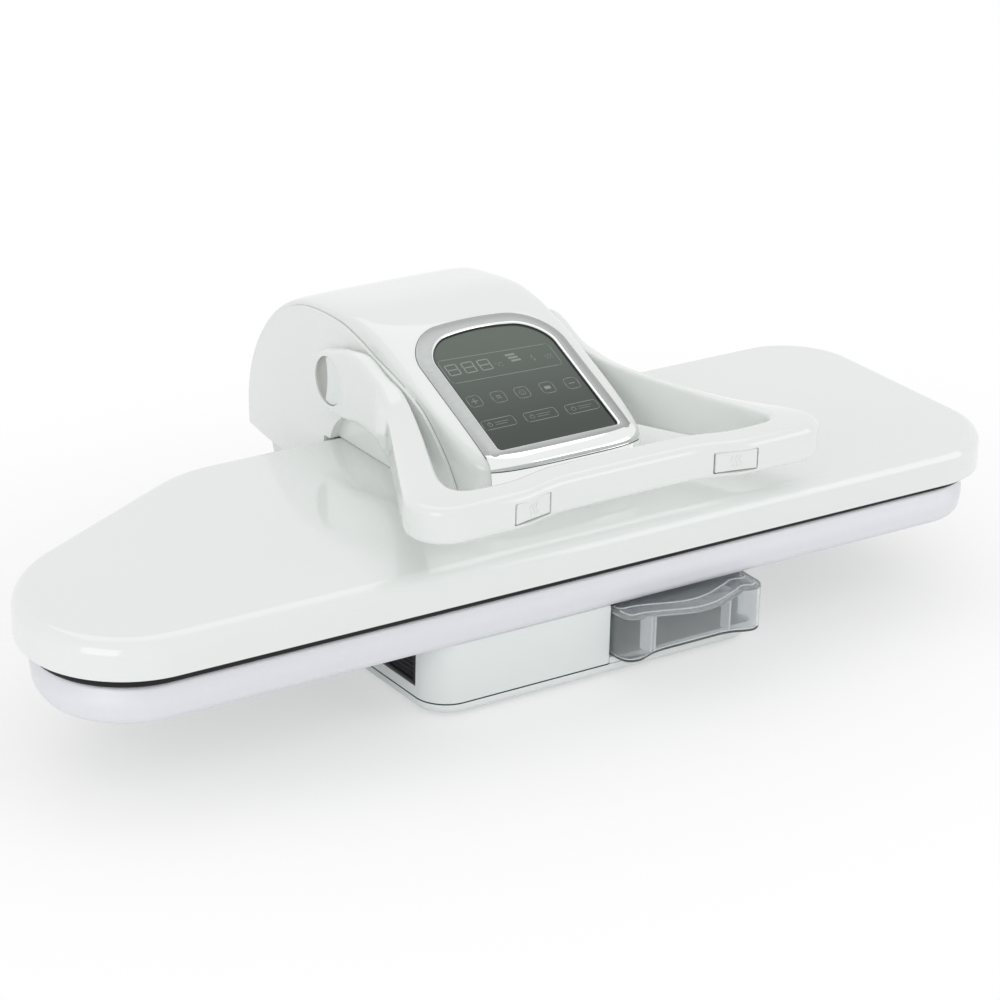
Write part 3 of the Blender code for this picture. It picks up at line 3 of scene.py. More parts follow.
import bmesh
import bpy
from mathutils import Matrix, Vector
from mathutils.bvhtree import BVHTree


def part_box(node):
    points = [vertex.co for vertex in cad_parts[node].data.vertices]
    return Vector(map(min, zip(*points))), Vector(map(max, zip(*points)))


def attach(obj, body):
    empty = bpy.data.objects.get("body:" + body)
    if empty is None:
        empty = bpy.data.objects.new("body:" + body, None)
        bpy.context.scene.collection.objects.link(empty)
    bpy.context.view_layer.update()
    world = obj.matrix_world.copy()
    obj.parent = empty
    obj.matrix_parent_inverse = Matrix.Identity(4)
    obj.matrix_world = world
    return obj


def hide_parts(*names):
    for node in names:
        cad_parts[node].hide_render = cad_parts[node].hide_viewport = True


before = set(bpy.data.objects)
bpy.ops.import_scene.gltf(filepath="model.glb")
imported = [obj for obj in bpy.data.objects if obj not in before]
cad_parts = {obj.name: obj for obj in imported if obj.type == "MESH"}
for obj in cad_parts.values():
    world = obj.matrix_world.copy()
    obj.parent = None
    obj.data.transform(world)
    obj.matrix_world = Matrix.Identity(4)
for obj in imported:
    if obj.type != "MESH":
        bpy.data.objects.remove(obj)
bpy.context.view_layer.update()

# Studio
# A pale floor that fades to white, a white surround and three soft lamps.
# The camera stands at the left front, a little above the hood, as in the photograph.

CAMERA_TURN = math.radians(-34.11)
CAMERA_RISE = math.radians(22.69)
CAMERA_ROLL = math.radians(1.4676)
CAMERA_DISTANCE = 2.9518
CAMERA_AIM = Vector((0, -0.06975, 0.1086))
CAMERA_SLIDE = (-0.010125, -0.01418)
CAMERA_LENS = 128.205
CAMERA_SENSOR = 36
WORLD_LEVEL = 0.72
LAMP_PLACES_SIZES_POWERS = {
    "overhead_lamp": ((0.25, 0.55, 1.9), (2.2, 1.5), 7.5),
    "left_lamp": ((-1.9, -1.2, 0.8), (1.4, 1.4), 9.5),
    "right_lamp": ((1.7, -1.7, 0.6), (1.4, 1.2), 7.5),
}
LAMP_AIM = Vector((0, 0, 0.12))
WHITE = (1, 1, 1, 1)
FLOOR_RADIUS = 14.0
FLOOR_STEPS = 96
FLOOR_PALE = (0.97, 0.97, 0.97, 1)
FLOOR_ROUGHNESS = 0.7
FLOOR_SHINE = 0.2
FADE_SCALE = (1.55, 2.2, 0)
FADE_START = 0.5
FADE_END = 1.35
FADE_LEAST = 0.48

scene = bpy.context.scene
scene.view_settings.view_transform = "Standard"


def placed(name, data):
    """A new object in the scene."""
    thing = bpy.data.objects.new(name, data)
    scene.collection.objects.link(thing)
    return thing


def mesh_object(name, body):
    """A new object in the scene with the mesh of a bmesh, which is freed."""
    mesh = bpy.data.meshes.new(name)
    body.to_mesh(mesh)
    body.free()
    return placed(name, mesh)


def feed(node, inputs):
    """Give inputs of a node plain values, or link them from a socket or a node's first output in use."""
    for label, value in inputs.items():
        if isinstance(value, bpy.types.Node):
            value = next(socket for socket in value.outputs if socket.enabled)
        if isinstance(value, bpy.types.NodeSocket):
            node.id_data.links.new(value, node.inputs[label])
        else:
            node.inputs[label].default_value = value
    return node


def add_node(tree, kind, inputs=None, **settings):
    node = tree.nodes.new("ShaderNode" + kind)
    for label, value in settings.items():
        setattr(node, label, value)
    return feed(node, inputs or {})


def maths(tree, operation, *inputs):
    return add_node(tree, "Math", dict(enumerate(inputs)), operation=operation)


def plainly_seen(tree):
    """One for rays from the camera, from reflections and through clear plastic, nought for others."""
    ray = add_node(tree, "LightPath").outputs
    either = maths(tree, "MAXIMUM", ray["Is Camera Ray"], ray["Is Glossy Ray"])
    return maths(tree, "MAXIMUM", either, ray["Is Transmission Ray"])


def new_material(name):
    """A material with its node tree and its Principled shader."""
    material = bpy.data.materials.new(name)
    material.use_nodes = True
    return material, material.node_tree, material.node_tree.nodes["Principled BSDF"]


back = Vector((math.sin(CAMERA_TURN) * math.cos(CAMERA_RISE),
               -math.cos(CAMERA_TURN) * math.cos(CAMERA_RISE), math.sin(CAMERA_RISE)))
level = (-back).cross(Vector((0, 0, 1))).normalized()
upward = level.cross(-back)
across = math.cos(CAMERA_ROLL) * level + math.sin(CAMERA_ROLL) * upward
upright = math.cos(CAMERA_ROLL) * upward - math.sin(CAMERA_ROLL) * level
place = CAMERA_AIM + back * CAMERA_DISTANCE - across * CAMERA_SLIDE[0] - upright * CAMERA_SLIDE[1]
camera = placed("camera", bpy.data.cameras.new("camera"))
camera.data.lens, camera.data.sensor_width = CAMERA_LENS, CAMERA_SENSOR
camera.matrix_world = Matrix.Translation(place) @ Matrix((across, upright, back)).transposed().to_4x4()
scene.camera = camera

scene.world = bpy.data.worlds.new("studio")
scene.world.use_nodes = True
sky = scene.world.node_tree
strength = add_node(sky, "MapRange", {"Value": plainly_seen(sky), "To Min": WORLD_LEVEL})
feed(sky.nodes["Background"], {"Color": WHITE, "Strength": strength})
for name, (place, size, power) in LAMP_PLACES_SIZES_POWERS.items():
    lamp = placed(name, bpy.data.lights.new(name, "AREA"))
    lamp.data.shape, lamp.data.energy = "RECTANGLE", power
    lamp.data.size, lamp.data.size_y = size
    lamp.location = place
    lamp.rotation_euler = (LAMP_AIM - lamp.location).to_track_quat("-Z", "Y").to_euler()

floor_body = bmesh.new()
bmesh.ops.create_circle(floor_body, cap_ends=True, radius=FLOOR_RADIUS, segments=FLOOR_STEPS)
floor = mesh_object("floor", floor_body)
floor_paint, tree, paint = new_material("floor_paint")
feed(paint, {"Base Color": FLOOR_PALE, "Roughness": FLOOR_ROUGHNESS, "Specular IOR Level": FLOOR_SHINE})
where = add_node(tree, "TexCoord").outputs["Object"]
flattened = add_node(tree, "VectorMath", {0: where, 1: FADE_SCALE}, operation="MULTIPLY")
reach = add_node(tree, "VectorMath", {0: flattened}, operation="LENGTH")
fade = add_node(tree, "MapRange", {"Value": reach, "From Min": FADE_START, "From Max": FADE_END,
                                   "To Min": FADE_LEAST}, interpolation_type="SMOOTHSTEP")
blend = add_node(tree, "MixShader", {0: maths(tree, "MULTIPLY", fade, plainly_seen(tree)), 1: paint,
                                     2: add_node(tree, "Emission", {"Color": WHITE})})
feed(tree.nodes["Material Output"], {"Surface": blend})
floor.data.materials.append(floor_paint)

# Base tray and feet
# A shallow moulded tray with round corners that closes the base from below, on four rubber feet.
# It is the same satin white plastic as the housing above it, with a black strip in the seam between them as
# painted shade.

ARC_STEPS = 20
LEAST_RADIUS = 0.0002
TRAY_FRONT_RADIUS = 0.028
TRAY_BACK_RADIUS = 0.014
TRAY_EDGE = 0.006
TRAY_WALL = 0.0026
SEAM_EDGE = 0.0007
SHARP_TURN = math.radians(34)
WELD_DISTANCE = 1e-6
CLOUD_DETAIL = 4
SKIN_DETAIL = 2


def start_group(name, starts, results=("Color", "Roughness", "Height")):
    """An effect group whose inputs have these start values, and the sockets that they come from."""
    group = bpy.data.node_groups.new(name, "ShaderNodeTree")
    for label, start in starts.items():
        kind = "Float" if isinstance(start, float) else "Color" if len(start) == 4 else "Vector"
        socket = group.interface.new_socket(label, in_out="INPUT", socket_type="NodeSocket" + kind)
        socket.default_value = start
    for label in results:
        kind = "Color" if label == "Color" else "Float"
        group.interface.new_socket(label, in_out="OUTPUT", socket_type="NodeSocket" + kind)
    return group, group.nodes.new("NodeGroupInput").outputs


def end_group(group, results):
    feed(group.nodes.new("NodeGroupOutput"), results)


def tinted(tree, share, first, second):
    return add_node(tree, "Mix", {"Factor": share, "A": first, "B": second}, data_type="RGBA")


MOULDED, given = start_group("moulded_skin", {
    "Color": (0.8, 0.8, 0.8, 1), "Shade": (0.7, 0.7, 0.7, 1), "Cloud Scale": 9.0, "Clouding": 0.4,
    "Roughness": 0.2, "Roughness Spread": 0.05, "Skin Scale": 900.0})
where = add_node(MOULDED, "TexCoord").outputs["Object"]
cloud = add_node(MOULDED, "TexNoise", {"Vector": where, "Scale": given["Cloud Scale"],
                                       "Detail": CLOUD_DETAIL})
skin = add_node(MOULDED, "TexNoise", {"Vector": where, "Scale": given["Skin Scale"], "Detail": SKIN_DETAIL})
end_group(MOULDED, {
    "Color": tinted(MOULDED, maths(MOULDED, "MULTIPLY", cloud, given["Clouding"]),
                    given["Color"], given["Shade"]),
    "Roughness": maths(MOULDED, "MULTIPLY_ADD", maths(MOULDED, "SUBTRACT", cloud, 0.5),
                       given["Roughness Spread"], given["Roughness"]),
    "Height": skin})


def finish_from(name, group, values, bump=0.0, thread_map=None, **plain):
    """A material whose Principled shader takes colour, roughness and bump from an effect group."""
    material, tree, shader = new_material(name)
    effect = add_node(tree, "Group", values, node_tree=group)
    feed(shader, {"Base Color": effect.outputs["Color"], "Roughness": effect.outputs["Roughness"]})
    if bump:
        relief = add_node(tree, "Bump", {"Distance": bump, "Height": effect.outputs["Height"]})
        feed(shader, {"Normal": relief})
    if thread_map:
        feed(effect, {"Vector": add_node(tree, "UVMap", uv_map=thread_map)})
    feed(shader, {label.replace("_", " "): value for label, value in plain.items()})
    return material


def moulded(name, tint, shade, cloud, clouding, roughness, spread, skin, bump=0.0, **plain):
    """A moulded finish: colour and roughness cloud a little, at one scale, over a skin at another."""
    return finish_from(name, MOULDED, {
        "Color": (*tint, 1), "Shade": (*shade, 1), "Cloud Scale": cloud, "Clouding": clouding,
        "Roughness": roughness, "Roughness Spread": spread, "Skin Scale": skin}, bump, **plain)


def rectangle(left, low, right, high):
    return [(left, low), (right, low), (right, high), (left, high)]


def outline(corners, radii, steps=ARC_STEPS):
    """Points round a polygon with arcs at its corners, always the same number of them."""
    count = len(corners)
    points = [Vector(corner) for corner in corners]
    turns, reaches = [], []
    for i in range(count):
        behind = (points[i - 1] - points[i]).normalized()
        ahead = (points[(i + 1) % count] - points[i]).normalized()
        half = behind.angle(ahead) / 2
        turns.append((behind, ahead, half))
        reaches.append(max(radii[i], LEAST_RADIUS) / math.tan(half))
    for i in range(count):
        side = (points[(i + 1) % count] - points[i]).length
        spare = side / (reaches[i] + reaches[(i + 1) % count])
        if spare < 1:
            reaches[i] *= spare
            reaches[(i + 1) % count] *= spare
    line = []
    for point, reach, (behind, ahead, half) in zip(points, reaches, turns):
        centre = point + (behind + ahead).normalized() * (reach * math.tan(half) / math.sin(half))
        first, last = point + behind * reach - centre, point + ahead * reach - centre
        swing = first.angle_signed(last)
        line += [centre + Matrix.Rotation(-swing * step / steps, 2) @ first for step in range(steps + 1)]
    return line


def inset(corners, distance):
    """The corners of a counter-clockwise polygon whose sides have moved inward."""
    points = [Vector(corner) for corner in corners]
    sides = []
    for point, ahead in zip(points, points[1:] + points[:1]):
        along = (ahead - point).normalized()
        sides.append((point + Vector((-along.y, along.x)) * distance, along))
    moved = []
    for (a, da), (b, db) in zip(sides[-1:] + sides, sides):
        turn = da.x * db.y - da.y * db.x
        moved.append(a + da * (((b - a).x * db.y - (b - a).y * db.x) / turn))
    return moved


def inner_line(corners, radii, inward, steps=ARC_STEPS):
    """The rounded outline of a polygon, moved inward."""
    return outline(inset(corners, inward), [radius - inward for radius in radii], steps)


def at_height(line, z):
    return [Vector((p.x, p.y, z)) for p in line]


def quarter(steps):
    """Shares of a radius round a quarter turn: how far inward, and how far from the full height."""
    turns = [math.radians(90) * step / steps for step in range(steps + 1)]
    return [(1 - math.cos(turn), 1 - math.sin(turn)) for turn in turns]


def edge_rings(ring, start, height, radius, rising, steps=6):
    """Rings round an edge from its inset: up and inward to a level height, or outward from it."""
    radius_down = radius if rising else -radius
    rings = [ring(start + radius * inward, height - radius_down * drop) for inward, drop in quarter(steps)]
    return rings if rising else rings[::-1]


def loft(rows, closed=True, cap_first=False, cap_last=False, body=None):
    """Quads between rows of points, with a face over the first or last row if asked."""
    body = body or bmesh.new()
    grid = [[body.verts.new(point) for point in row] for row in rows]
    count = len(grid[0])
    for first, second in zip(grid, grid[1:]):
        for i in range(count if closed else count - 1):
            j = (i + 1) % count
            body.faces.new((first[i], first[j], second[j], second[i]))
    if cap_first:
        body.faces.new(reversed(grid[0]))
    if cap_last:
        body.faces.new(grid[-1])
    return body


def solid(rows, body=None):
    return loft(rows, cap_first=True, cap_last=True, body=body)


def shade(mesh, turn=SHARP_TURN):
    mesh.shade_smooth()
    mesh.set_sharp_from_angle(angle=turn)


def add_piece(name, body, material, rides_on, replaces=(), turn=SHARP_TURN, faces_out=False):
    """Turn a bmesh into a shaded piece that rides on a body and stands for CAD nodes."""
    bmesh.ops.remove_doubles(body, verts=body.verts, dist=WELD_DISTANCE)
    if not faces_out:
        bmesh.ops.recalc_face_normals(body, faces=body.faces)
    piece = mesh_object(name, body)
    piece.data.materials.append(material)
    shade(piece.data, turn)
    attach(piece, rides_on)
    if replaces:
        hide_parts(*replaces)
    return piece


def apply_steps(piece, turn=SHARP_TURN):
    """Keep the result of a piece's modifiers as its mesh."""
    bpy.context.view_layer.update()
    seen_by = bpy.context.evaluated_depsgraph_get()
    result = bpy.data.meshes.new_from_object(piece.evaluated_get(seen_by))
    piece.modifiers.clear()
    piece.data = result
    shade(result, turn)


def give_wall(piece, thickness, side=-1.0):
    wall = piece.modifiers.new("Wall", "SOLIDIFY")
    wall.thickness, wall.offset, wall.use_even_offset = thickness, side, True
    apply_steps(piece)


def combine(piece, tool_body, operation="DIFFERENCE", turn=SHARP_TURN):
    """Cut a shape out of a piece, or add it to it, and drop the shape."""
    bmesh.ops.recalc_face_normals(tool_body, faces=tool_body.faces)
    tool = mesh_object("tool", tool_body)
    step = piece.modifiers.new("Step", "BOOLEAN")
    step.operation, step.solver, step.object = operation, "EXACT", tool
    apply_steps(piece, turn)
    bpy.data.objects.remove(tool, do_unlink=True)


def paint_nodes(nodes, material):
    """Give CAD nodes that stay in view their finish."""
    for node in nodes:
        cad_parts[node].data.materials.clear()
        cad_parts[node].data.materials.append(material)


SATIN_PLASTIC = moulded(
    "satin_white_plastic", tint=(0.80, 0.84, 0.83), shade=(0.755, 0.795, 0.785), cloud=7.0, clouding=0.35,
    roughness=0.34, spread=0.10, skin=1400.0, bump=0.00006)
# This black also colours the dark strips that stand as painted shade in seams and along edges.
RUBBER_AND_SHADE = moulded(
    "foot_rubber_and_painted_shade", tint=(0.055, 0.055, 0.058), shade=(0.035, 0.035, 0.037), cloud=60.0, clouding=0.8,
    roughness=0.75, spread=0.2, skin=2200.0, bump=0.0001)

tray_low, tray_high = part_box("base_tray")
tray_corners = rectangle(tray_low.x, tray_low.y, tray_high.x, tray_high.y)
tray_radii = (TRAY_FRONT_RADIUS, TRAY_FRONT_RADIUS, TRAY_BACK_RADIUS, TRAY_BACK_RADIUS)


def tray_ring(inward, z):
    return at_height(inner_line(tray_corners, tray_radii, inward), z)


tray_rows = edge_rings(tray_ring, 0, tray_low.z, TRAY_EDGE, rising=False)
tray_rows += edge_rings(tray_ring, 0, tray_high.z, SEAM_EDGE, rising=True, steps=3)
tray = add_piece("base_tray_shell", loft(tray_rows, cap_first=True), SATIN_PLASTIC, "base",
                 ["base_tray"])
give_wall(tray, TRAY_WALL)
paint_nodes(("foot_front_left", "foot_front_right", "foot_back_left", "foot_back_right"), RUBBER_AND_SHADE)

# Base housing
# A moulded white box under the board, open below, with the tank's bay cut into its right front
# corner and an opening for the vent in its left wall.

HOUSING_WALL = 0.0026
HOUSING_EDGE = 0.0016
POST_RADIUS = 0.006
POST_SETBACK = 0.018
TANK_SIDE_GAP = 0.0018
TANK_BACK_ROOM = 0.0100
VENT_MARGIN = 0.0006
SEAM_INSET = 0.0002
SEAM_DEPTH = 0.0014
SEAM_HOLD = 0.0003
SEAM_LIFT = 0.0005


def block(low, high):
    body = bmesh.new()
    bmesh.ops.create_cube(body, size=1)
    low, high = Vector(low), Vector(high)
    bmesh.ops.scale(body, vec=high - low, verts=body.verts)
    bmesh.ops.translate(body, vec=(low + high) / 2, verts=body.verts)
    return body


house_low, house_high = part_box("base_housing")
tank_low, tank_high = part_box("water_tank")
vent_low, vent_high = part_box("vent_grille")
bay_left = tank_low.x - TANK_SIDE_GAP
bay_right = tank_high.x + TANK_SIDE_GAP
bay_back = tank_high.y + TANK_BACK_ROOM
post_y = house_low.y + POST_SETBACK
house_corners = [
    (house_low.x, house_low.y), (bay_left, house_low.y), (bay_left, bay_back), (bay_right, bay_back),
    (bay_right, post_y), (house_high.x, post_y), (house_high.x, house_high.y), (house_low.x, house_high.y),
]
house_radii = (TRAY_FRONT_RADIUS, HOUSING_EDGE, HOUSING_EDGE, HOUSING_EDGE, HOUSING_EDGE, POST_RADIUS,
               TRAY_BACK_RADIUS, TRAY_BACK_RADIUS)


def house_ring(inward, z):
    return at_height(inner_line(house_corners, house_radii, inward), z)


house_rows = edge_rings(house_ring, 0, house_low.z + SEAM_LIFT, SEAM_EDGE, rising=False, steps=3)
house_rows += edge_rings(house_ring, 0, house_high.z, HOUSING_EDGE, rising=True, steps=4)
housing = add_piece("base_housing_shell", loft(house_rows[1:], cap_last=True), SATIN_PLASTIC, "base",
                    ["base_housing"])
give_wall(housing, HOUSING_WALL)
combine(housing, block(
    (house_low.x - HOUSING_WALL, vent_low.y - VENT_MARGIN, vent_low.z - VENT_MARGIN),
    (house_low.x + 2 * HOUSING_WALL, vent_high.y + VENT_MARGIN, vent_high.z + VENT_MARGIN)))
# A black strip sits in the seam between tray and housing as painted shade, so the seam reads as a dark line.
seam_low, seam_high = tray_high.z - SEAM_HOLD, house_low.z + SEAM_HOLD
seam_shade_rows = [house_ring(inward, z) for inward, z in (
    (SEAM_INSET, seam_low), (SEAM_INSET, seam_high), (SEAM_INSET + SEAM_DEPTH, seam_high),
    (SEAM_INSET + SEAM_DEPTH, seam_low))]
add_piece("base_seam_painted_shade", loft(seam_shade_rows + seam_shade_rows[:1]), RUBBER_AND_SHADE, "base")

# Ironing board
# A sheet pan with foam on it, under a tight silver-coated cloth that is drawn in below the pan.
# The heated plate presses the top flat; the sides stay plump.

PRESS_LENGTH = 0.900
PRESS_DEPTH = 0.2926
NOSE_DEPTH_SHARE = 0.5545
TAPER_LENGTH_SHARE = 0.265
PRESS_RADII = (0.0819, 0.0715, 0.0694, 0.1291, 0.1354)
BOARD_INSET = 0.0137
CLOTH_SHEET = 0.0016
CLOTH_TOP_RADIUS = 0.0085
CLOTH_FOOT_RADIUS = 0.0100
CLOTH_RETURN = 0.0160
CLOTH_RETURN_STEPS = 5
CLOTH_STEPS = 8
CLOTH_SPREAD = 0.0011
CLOTH_FLATNESS = 0.75
PLEAT_DEPTH = 0.0009
PLEAT_LENGTH = 0.011
CREASE_DEPTH = 0.0004
CREASE_WAVES = ((41, 1.3), (37, 0.4), (23, 0))
CREASE_LEAD = 4
CREASE_DETAIL = 3
CREASE_DISTORTION = 0.6
CREASE_ROUGHNESS = 0.16
WEAVE_SHARE = 0.6
LEAST_SIDE = 0.1
CLOTH_SHARP_TURN = math.radians(70)
SPINE_LEFT_END = 0.16
SPINE_RIGHT_END = 0.15
TOP_RINGS = 26
FOAM_CLEARANCE = 0.0006

press_low, press_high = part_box("press_cover")
press_front = press_low.y
nose = press_low.x
tail = nose + PRESS_LENGTH
press_corners = [
    (nose, press_front), (tail, press_front), (tail, press_front + PRESS_DEPTH),
    (nose + PRESS_LENGTH * TAPER_LENGTH_SHARE, press_front + PRESS_DEPTH),
    (nose, press_front + PRESS_DEPTH * NOSE_DEPTH_SHARE),
]


def press_ring(inward, z):
    """The press outline, moved inward, at one height."""
    return at_height(inner_line(press_corners, PRESS_RADII, inward), z)


CLOTH, given = start_group("woven_cloth", {
    "Color": (0.6, 0.6, 0.6, 1), "Thread": (0.5, 0.5, 0.5, 1), "Vector": (0, 0, 0),
    "Threads Per Metre": 900.0, "Roughness": 0.5, "Crease Scale": 18.0, "Crease Share": 0.5})
scaled = add_node(CLOTH, "VectorMath", {0: given["Vector"], "Scale": given["Threads Per Metre"]},
                  operation="SCALE")
parts = add_node(CLOTH, "SeparateXYZ", {"Vector": scaled}).outputs
waves = [maths(CLOTH, "SINE", parts[axis]) for axis in ("X", "Y")]
weave = add_node(CLOTH, "MapRange", {"Value": maths(CLOTH, "MULTIPLY", *waves), "From Min": -1})
crease = add_node(CLOTH, "TexNoise", {"Vector": given["Vector"], "Scale": given["Crease Scale"],
                                      "Detail": CREASE_DETAIL, "Distortion": CREASE_DISTORTION})
end_group(CLOTH, {
    "Color": tinted(CLOTH, maths(CLOTH, "MULTIPLY", weave, WEAVE_SHARE), given["Color"], given["Thread"]),
    "Roughness": maths(CLOTH, "MULTIPLY_ADD", crease, CREASE_ROUGHNESS, given["Roughness"]),
    "Height": add_node(CLOTH, "Mix", {"Factor": given["Crease Share"], "A": weave, "B": crease})})

SILVER_CLOTH = finish_from(
    "silver_coated_cloth", CLOTH,
    {"Color": (0.81, 0.815, 0.855, 1), "Thread": (0.73, 0.735, 0.79, 1), "Threads Per Metre": 3600.0,
     "Roughness": 0.30, "Crease Scale": 14.0, "Crease Share": 0.85},
    bump=0.0010, thread_map="threads", Metallic=0.25, Sheen_Weight=0.15)

cloth_low, cloth_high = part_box("board_cloth")
seat = press_ring(0, 0)
girth = [0.0]
for point, ahead in zip(seat, seat[1:]):
    girth.append(girth[-1] + (ahead - point).length)
rows = []
for step in range(CLOTH_RETURN_STEPS):
    gather = 1 - step / CLOTH_RETURN_STEPS
    row = press_ring(BOARD_INSET + CLOTH_FOOT_RADIUS + CLOTH_RETURN * gather, cloth_low.z)
    for point, run in zip(row, girth):
        point.z += abs(math.sin(math.tau * run / PLEAT_LENGTH)) * PLEAT_DEPTH * gather
    rows.append(row)
rows += edge_rings(press_ring, BOARD_INSET, cloth_low.z, CLOTH_FOOT_RADIUS, rising=False, steps=CLOTH_STEPS)
side_low = cloth_low.z + CLOTH_FOOT_RADIUS
side_high = cloth_high.z - CLOTH_TOP_RADIUS
for step in range(1, CLOTH_STEPS):
    share_up = step / CLOTH_STEPS
    rows.append(press_ring(BOARD_INSET - CLOTH_SPREAD * math.sin(math.pi * share_up),
                           side_low + (side_high - side_low) * share_up))
rows += edge_rings(press_ring, BOARD_INSET, cloth_high.z, CLOTH_TOP_RADIUS, rising=True, steps=CLOTH_STEPS)
rim_row = rows[-1]
for step in range(1, TOP_RINGS + 1):
    share_in = step / TOP_RINGS
    row = []
    for point in rim_row:
        target = Vector((min(max(point.x, nose + SPINE_LEFT_END), tail - SPINE_RIGHT_END),
                         press_front + PRESS_DEPTH / 2, point.z))
        spot = point.lerp(target, share_in)
        runs = (spot.x, spot.y, spot.x + spot.y)
        wave = math.prod(math.sin(run * pace + start) for run, (pace, start) in zip(runs, CREASE_WAVES))
        spot.z -= CREASE_DEPTH * (0.5 + 0.5 * wave) * min(1, CREASE_LEAD * share_in)
        row.append(spot)
    rows.append(row)
cloth = add_piece("board_cloth_cover", loft(rows), SILVER_CLOTH, "base", ["board_cloth"],
                  turn=CLOTH_SHARP_TURN)
give_wall(cloth, CLOTH_SHEET)
threads = cloth.data.uv_layers.new(name="threads")
for face in cloth.data.polygons:
    flat = abs(face.normal.z) > CLOTH_FLATNESS
    along = Vector((-face.normal.y, face.normal.x, 0))
    along = Vector((1, 0, 0)) if flat or along.length < LEAST_SIDE else along.normalized()
    for loop in face.loop_indices:
        spot = cloth.data.vertices[cloth.data.loops[loop].vertex_index].co
        threads.data[loop].uv = (spot.x, spot.y) if flat else (spot.dot(along), spot.z)

FOAM_SKIN = moulded(
    "open_cell_foam", tint=(0.78, 0.72, 0.55), shade=(0.60, 0.54, 0.38), cloud=420.0, clouding=0.8,
    roughness=0.92, spread=0.1, skin=700.0, bump=0.0008)
foam_low, foam_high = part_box("board_foam")
foam_inset = BOARD_INSET + CLOTH_SHEET + FOAM_CLEARANCE
foam_rows = [press_ring(foam_inset, foam_low.z)]
foam_rows += edge_rings(press_ring, foam_inset, foam_high.z - CREASE_DEPTH, CLOTH_TOP_RADIUS - CLOTH_SHEET,
                        rising=True)
foam = add_piece("board_foam_pad", solid(foam_rows), FOAM_SKIN, "base", ["board_foam"])

STREAK_DETAIL = 5

METAL, given = start_group("rolled_metal", {
    "Color": (0.6, 0.6, 0.6, 1), "Shade": (0.4, 0.4, 0.4, 1), "Streak": (4, 300, 300), "Streaking": 0.5,
    "Roughness": 0.3, "Roughness Spread": 0.2})
drawn = add_node(METAL, "VectorMath", {0: add_node(METAL, "TexCoord").outputs["Object"], 1: given["Streak"]},
                 operation="MULTIPLY")
streak = add_node(METAL, "TexNoise", {"Vector": drawn, "Scale": 1.0, "Detail": STREAK_DETAIL})
end_group(METAL, {
    "Color": tinted(METAL, maths(METAL, "MULTIPLY", streak, given["Streaking"]),
                    given["Color"], given["Shade"]),
    "Roughness": maths(METAL, "MULTIPLY_ADD", streak, given["Roughness Spread"], given["Roughness"]),
    "Height": streak})


def metal(name, tint, shade, streak, streaking, roughness, spread, bump=0.0):
    """Drawn or rolled metal, with streaks at a scale for each axis."""
    return finish_from(name, METAL, {
        "Color": (*tint, 1), "Shade": (*shade, 1), "Streak": streak, "Streaking": streaking,
        "Roughness": roughness, "Roughness Spread": spread}, bump, Metallic=1.0)


ZINC_STEEL = metal(
    "zinc_plated_steel", tint=(0.56, 0.57, 0.59), shade=(0.38, 0.39, 0.41), streak=(60, 60, 900),
    streaking=0.7, roughness=0.26, spread=0.22, bump=0.00005)
paint_nodes(("board_pan", "board_rail_left", "board_rail_right"), ZINC_STEEL)

# Heated press plate
# A cast aluminium plate with a dark non-stick coat and rows of steam holes, a rod element on its
# back and a felt mat over that. A black rim closes the gap to the cover, and shows as a fine line.

PLATE_INSET = 0.0085
PLATE_EDGE = 0.0025
HOLE_RADIUS = 0.0022
HOLE_START = 0.001
HOLE_DEPTH = 0.0045
HOLE_SINK = 0.0012
HOLE_STEPS = 14
HOLE_SPACING = 0.040
HOLE_LOOPS = (0.036, 0.075)
RIM_INSET = 0.0031
RIM_OVERLAP = 0.0003
MAT_EDGE = 0.0016
MAT_INSET = 0.024
HOOD_X = 0.0325
WINDOW_WIDTH = 0.112
WINDOW_FRONT = 0.124
WINDOW_BACK = 0.268
WINDOW_REACH = 0.01

PLATE_COAT = moulded(
    "non_stick_coat", tint=(0.016, 0.016, 0.018), shade=(0.010, 0.010, 0.012), cloud=35.0, clouding=0.9,
    roughness=0.44, spread=0.16, skin=3000.0, bump=0.0001, Specular_IOR_Level=0.2)
plate_low, plate_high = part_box("heat_plate")
plate_rows = edge_rings(press_ring, PLATE_INSET, plate_low.z, PLATE_EDGE, rising=False)
plate_rows.append(press_ring(PLATE_INSET, plate_high.z))
plate = add_piece("press_plate", solid(plate_rows), PLATE_COAT, "press", ["heat_plate"])
hole_places = []
for loop_inset in HOLE_LOOPS:
    line = press_ring(loop_inset, plate_low.z)
    travelled, due = 0.0, 0.0
    for point, ahead in zip(line, line[1:] + line[:1]):
        side = (ahead - point).length
        while due < travelled + side:
            place = point.lerp(ahead, (due - travelled) / side)
            due += HOLE_SPACING
            if all((place - other).length > HOLE_SPACING / 2 for other in hole_places):
                hole_places.append(place)
        travelled += side
holes = bmesh.new()
for place in hole_places:
    solid([[(place.x + radius * math.cos(math.tau * k / HOLE_STEPS),
             place.y + radius * math.sin(math.tau * k / HOLE_STEPS), plate_low.z + rise)
            for k in range(HOLE_STEPS)]
           for radius, rise in ((HOLE_RADIUS + HOLE_SINK, -HOLE_START), (HOLE_RADIUS + HOLE_SINK, 0),
                                (HOLE_RADIUS, HOLE_SINK), (HOLE_RADIUS, HOLE_DEPTH))], holes)
combine(plate, holes)

